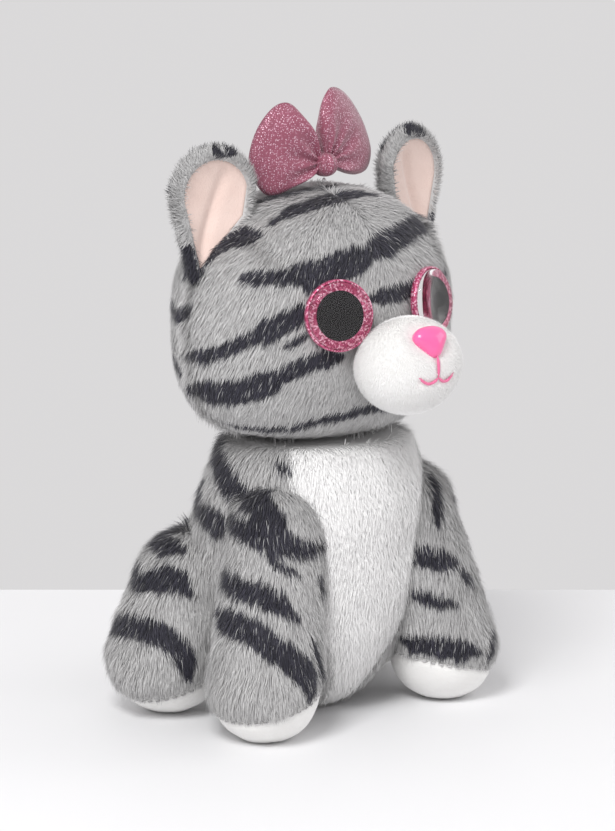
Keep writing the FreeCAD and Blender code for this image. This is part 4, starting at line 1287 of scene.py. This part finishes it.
bowSpot = np.array([0.0, -7.0, 212.0])
wingOutlines = {  # reach outwards from the knot and height over it, starting under the knot
    "right": [(2.5, -2.6), (9.0, -6.0), (16.0, -9.2), (23.0, -10.8), (28.5, -6.0), (31.5, 1.5), (30.5, 9.0),
              (27.0, 16.5), (21.0, 22.8), (15.0, 24.0), (9.5, 19.5), (6.0, 12.0), (3.0, 4.5)],
    "left": [(2.5, -2.0), (8.0, -2.8), (14.0, -5.0), (22.0, -6.2), (29.0, -4.5), (31.5, 2.0), (28.0, 10.5),
             (22.5, 18.0), (15.0, 25.0), (7.5, 28.5), (2.0, 27.5), (-2.5, 19.0), (-1.0, 7.0)],
}
knotLook = {"half": (4.0, 5.3, 4.6), "pleats": 7, "pinch": 0.10}
wingLook = {"puff": 4.6, "sweep": 16.0, "folds": 5, "foldDeep": 0.75}


def makeWing(side, seed):
    sign = signOf(side)
    edge = closedCurve(wingOutlines[side], 9)
    root = np.array([1.5, 1.0])
    rings = 22
    sweep = math.radians(wingLook["sweep"])
    count = len(edge)

    def at(flat, depth):
        x, z = flat
        return bowSpot + np.array([sign * (x * math.cos(sweep)), x * math.sin(sweep) * 0.9 + depth, z])

    def lay(face, seedShift):
        rows = []
        for i in range(rings):
            share = i / (rings - 1)
            row = []
            for k in range(count):
                flat = root + (edge[k] - root) * (1 - share)
                reach = np.linalg.norm(edge[k] - root) * (1 - share)
                full = np.linalg.norm(edge[k] - root)
                plump = math.sin(math.pi * min(1.0, 0.5 * share / 0.45)) if share < 0.45 else 1.0
                near = 1 - math.exp(-reach / 9.0)
                turn = math.atan2(edge[k][1] - root[1], edge[k][0] - root[0])
                fold = math.cos(turn * wingLook["folds"] * 2 + seedShift) * math.exp(-((reach - 7) / 9.0) ** 2)
                wave = noise.noise(Vector((flat[0] / 9, flat[1] / 9, seedShift))) * 0.9 * (share > 0) * near
                depth = face * (wingLook["puff"] * plump * near + wingLook["foldDeep"] * fold * min(1, share * 5)
                                + wave)
                depth += face * 0.25
                row.append(at(flat, depth if share > 0 else 0.0))
            rows.append(row)
        return rows

    frontRows, backRows = lay(-1, seed), lay(1, seed + 2.0)
    points = [spot for row in frontRows + backRows[1:] for spot in row]
    total = rings * count
    faces = strip(rings, count)
    faces.append([(rings - 1) * count + k for k in range(count)])
    for row in range(rings - 1):
        for k in range(count):
            k2 = (k + 1) % count
            a = k if row == 0 else total + (row - 1) * count + k
            b = k2 if row == 0 else total + (row - 1) * count + k2
            c, d = total + row * count + k2, total + row * count + k
            faces.append((b, a, d, c))
    faces.append([total + (rings - 2) * count + k for k in range(count)])
    wing = outwardPiece(f"{side}_bowLoop", points, faces, bowCloth, "bow")
    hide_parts(f"{side}_bow_wing")


makeWing("right", 1.0)
makeWing("left", 4.0)
ways, faces = sphereNet(5)
pleats = np.cos(np.arctan2(ways[:, 0], ways[:, 1]) * knotLook["pleats"])
pinch = 1 - knotLook["pinch"] * pleats * (1 - np.abs(ways[:, 2]))
knotPoints = bowSpot + np.sign(ways) * np.abs(ways) ** 0.85 * knotLook["half"] * pinch[:, None]
knot = meshPiece("bowKnot", knotPoints, faces, bowCloth, "bow")
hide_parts("bow_knot")
low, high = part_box("bow_thread")
holdLine = [np.array([0, bowSpot[1], z]) for z in np.linspace(low[2] / mm, high[2] / mm, 6)]
holdThread = tube("bowHoldingStitch", [holdLine], 0.85, seamThread, "head", strands=2)
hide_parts("bow_thread")
print("bow made")

# ---- neck seam, back seam and care label

low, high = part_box("neck_gather_thread")
ringZ = (low[2] + high[2]) / 2 / mm
turns = np.radians(np.arange(0, 361, 5))
gather = np.stack([32.0 * np.cos(turns), 31.0 * np.sin(turns) - 1.5, 0 * turns + ringZ], axis=1)
gatherLook = {"step": 5.0, "long": 3.4, "thick": 0.45}
gatherThread = thread("neckGatherStitch", gather, seamThread, "torso", gatherLook,
                      outFrom(np.array([0, 0, ringZ - 6])))
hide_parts("neck_gather_thread")
low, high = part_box("closing_stitches")
lines = []
for z in np.arange(low[2] / mm + 0.4, high[2] / mm, 5.0):
    y = reachAlong(trunkField, np.array([[0.0, 4.0, z]]), np.array([[0.0, 1.0, 0.0]]))[0, 1] + 1.4
    lines.append([np.array([x, y + 0.5 * (1 - (x / 2.6) ** 2), z + x * 0.25])
                  for x in np.linspace(-2.6, 2.6, 7)])
backStitches = tube("backSeamStitches", lines, 0.42, seamThread, "torso", strands=2)
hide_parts("closing_stitches")

labelMiddle, labelHalf = span("care_label")
labelLook = {"apart": 0.28, "thick": 0.11, "sunk": 5.0, "tucked": 2.0, "curl": 0.9}


def makeLabel():  # a blank satin loop: two leaves joined at their outer fold, a little curled
    long, high = labelHalf[1] * 2 + labelLook["tucked"], labelHalf[2] * 2
    columns, rows = 22, 14
    points = []
    gap, thick = labelLook["apart"], labelLook["thick"]
    profile = [(t * long, gap) for t in np.linspace(0, 1, columns)]
    profile += [(long + 0.25, 0.0)] + [(t * long, -gap) for t in np.linspace(1, 0, columns)]
    loop = profile + [(y, x - math.copysign(thick, x) if abs(x) > 0.05 else 0.0) for y, x in reversed(profile)]
    startY = labelMiddle[1] - labelHalf[1] - labelLook["sunk"]
    for i in range(rows + 1):
        z = labelMiddle[2] - labelHalf[2] + high * i / rows
        for y, x in loop:
            share = y / long
            bend = labelLook["curl"] * share ** 2 * math.sin(2.2 * i / rows + 0.4)
            points.append((x + bend, startY + y, z + 0.4 * share * math.sin(3 * share)))
    count = len(loop)
    faces = strip(rows + 1, count)
    half = len(profile)
    for base, flip in ((0, False), (rows * count, True)):
        for k in range(half - 1):
            quad = (base + k, base + k + 1, base + count - 2 - k, base + count - 1 - k)
            faces.append(quad if not flip else tuple(reversed(quad)))
    label = outwardPiece("careLabel", points, faces, labelSatin, "torso")
    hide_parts("care_label")


makeLabel()
print("trim made")


# ---- floor, lights and camera

def areaLight(name, place, aim, size, power, tint=(1, 1, 1)):
    lamp = bpy.data.lights.new(name, "AREA")
    lamp.shape = "RECTANGLE"
    lamp.size, lamp.size_y = size
    lamp.energy = power
    lamp.color = tint
    holder = bpy.data.objects.new(name, lamp)
    holder.location = Vector(place)
    holder.rotation_euler = (Vector(aim) - Vector(place)).to_track_quat("-Z", "Y").to_euler()
    bpy.context.scene.collection.objects.link(holder)
    return holder


viewLook = {"lens": 150, "far": 1.332, "aimZ": 0.114, "aside": -0.00173, "flat": 0.979, "rise": 0.2045}
floorLook = {"wide": 1500, "behind": 171}
acrossView, awayView = np.array([0.766, -0.643, 0.0]), np.array([0.643, 0.766, 0.0])


def makeStage():
    scene = bpy.context.scene
    back = Vector(-awayView * viewLook["flat"] + [0, 0, viewLook["rise"]])
    aim = Vector((0, 0, viewLook["aimZ"])) + Vector(acrossView) * viewLook["aside"]
    camera = bpy.data.objects.new("camera", bpy.data.cameras.new("camera"))
    camera.data.sensor_fit = "VERTICAL"
    camera.data.sensor_height = 36
    camera.data.lens = viewLook["lens"]
    camera.location = aim + back * viewLook["far"]
    camera.rotation_euler = (-back).to_track_quat("-Z", "Y").to_euler()
    scene.collection.objects.link(camera)
    scene.camera = camera
    world = bpy.data.worlds.new("studio")
    world.use_nodes = True
    glow = world.node_tree.nodes["Background"].inputs
    glow["Color"].default_value = (0.72, 0.71, 0.715, 1)
    glow["Strength"].default_value = 0.98
    scene.world = world
    pale = finishOf("paleFloor", Roughness=0.6)
    colourBy(pale, mixColour(pale, noiseSocket(pale, 3.0), (0.80, 0.80, 0.81), (0.86, 0.86, 0.87)))
    w, edge = floorLook["wide"], floorLook["behind"]
    corners = [awayView * a + acrossView * b for a, b in ((-w, -w), (-w, w), (edge, w), (edge, -w))]
    floor = meshPiece("floor", corners, [(0, 1, 2, 3)], pale, None, smooth=False)
    lamps = [
        areaLight("key", (-1.0, -0.6, 1.4), (0, 0, 0.1), (0.6, 0.6), 20),
        areaLight("fill", (1.3, -0.7, 0.7), (0, 0, 0.12), (0.8, 0.8), 3),
    ]
    scene.view_settings.view_transform = "Standard"


makeStage()
bpy.data.objects.remove(hairBlade)
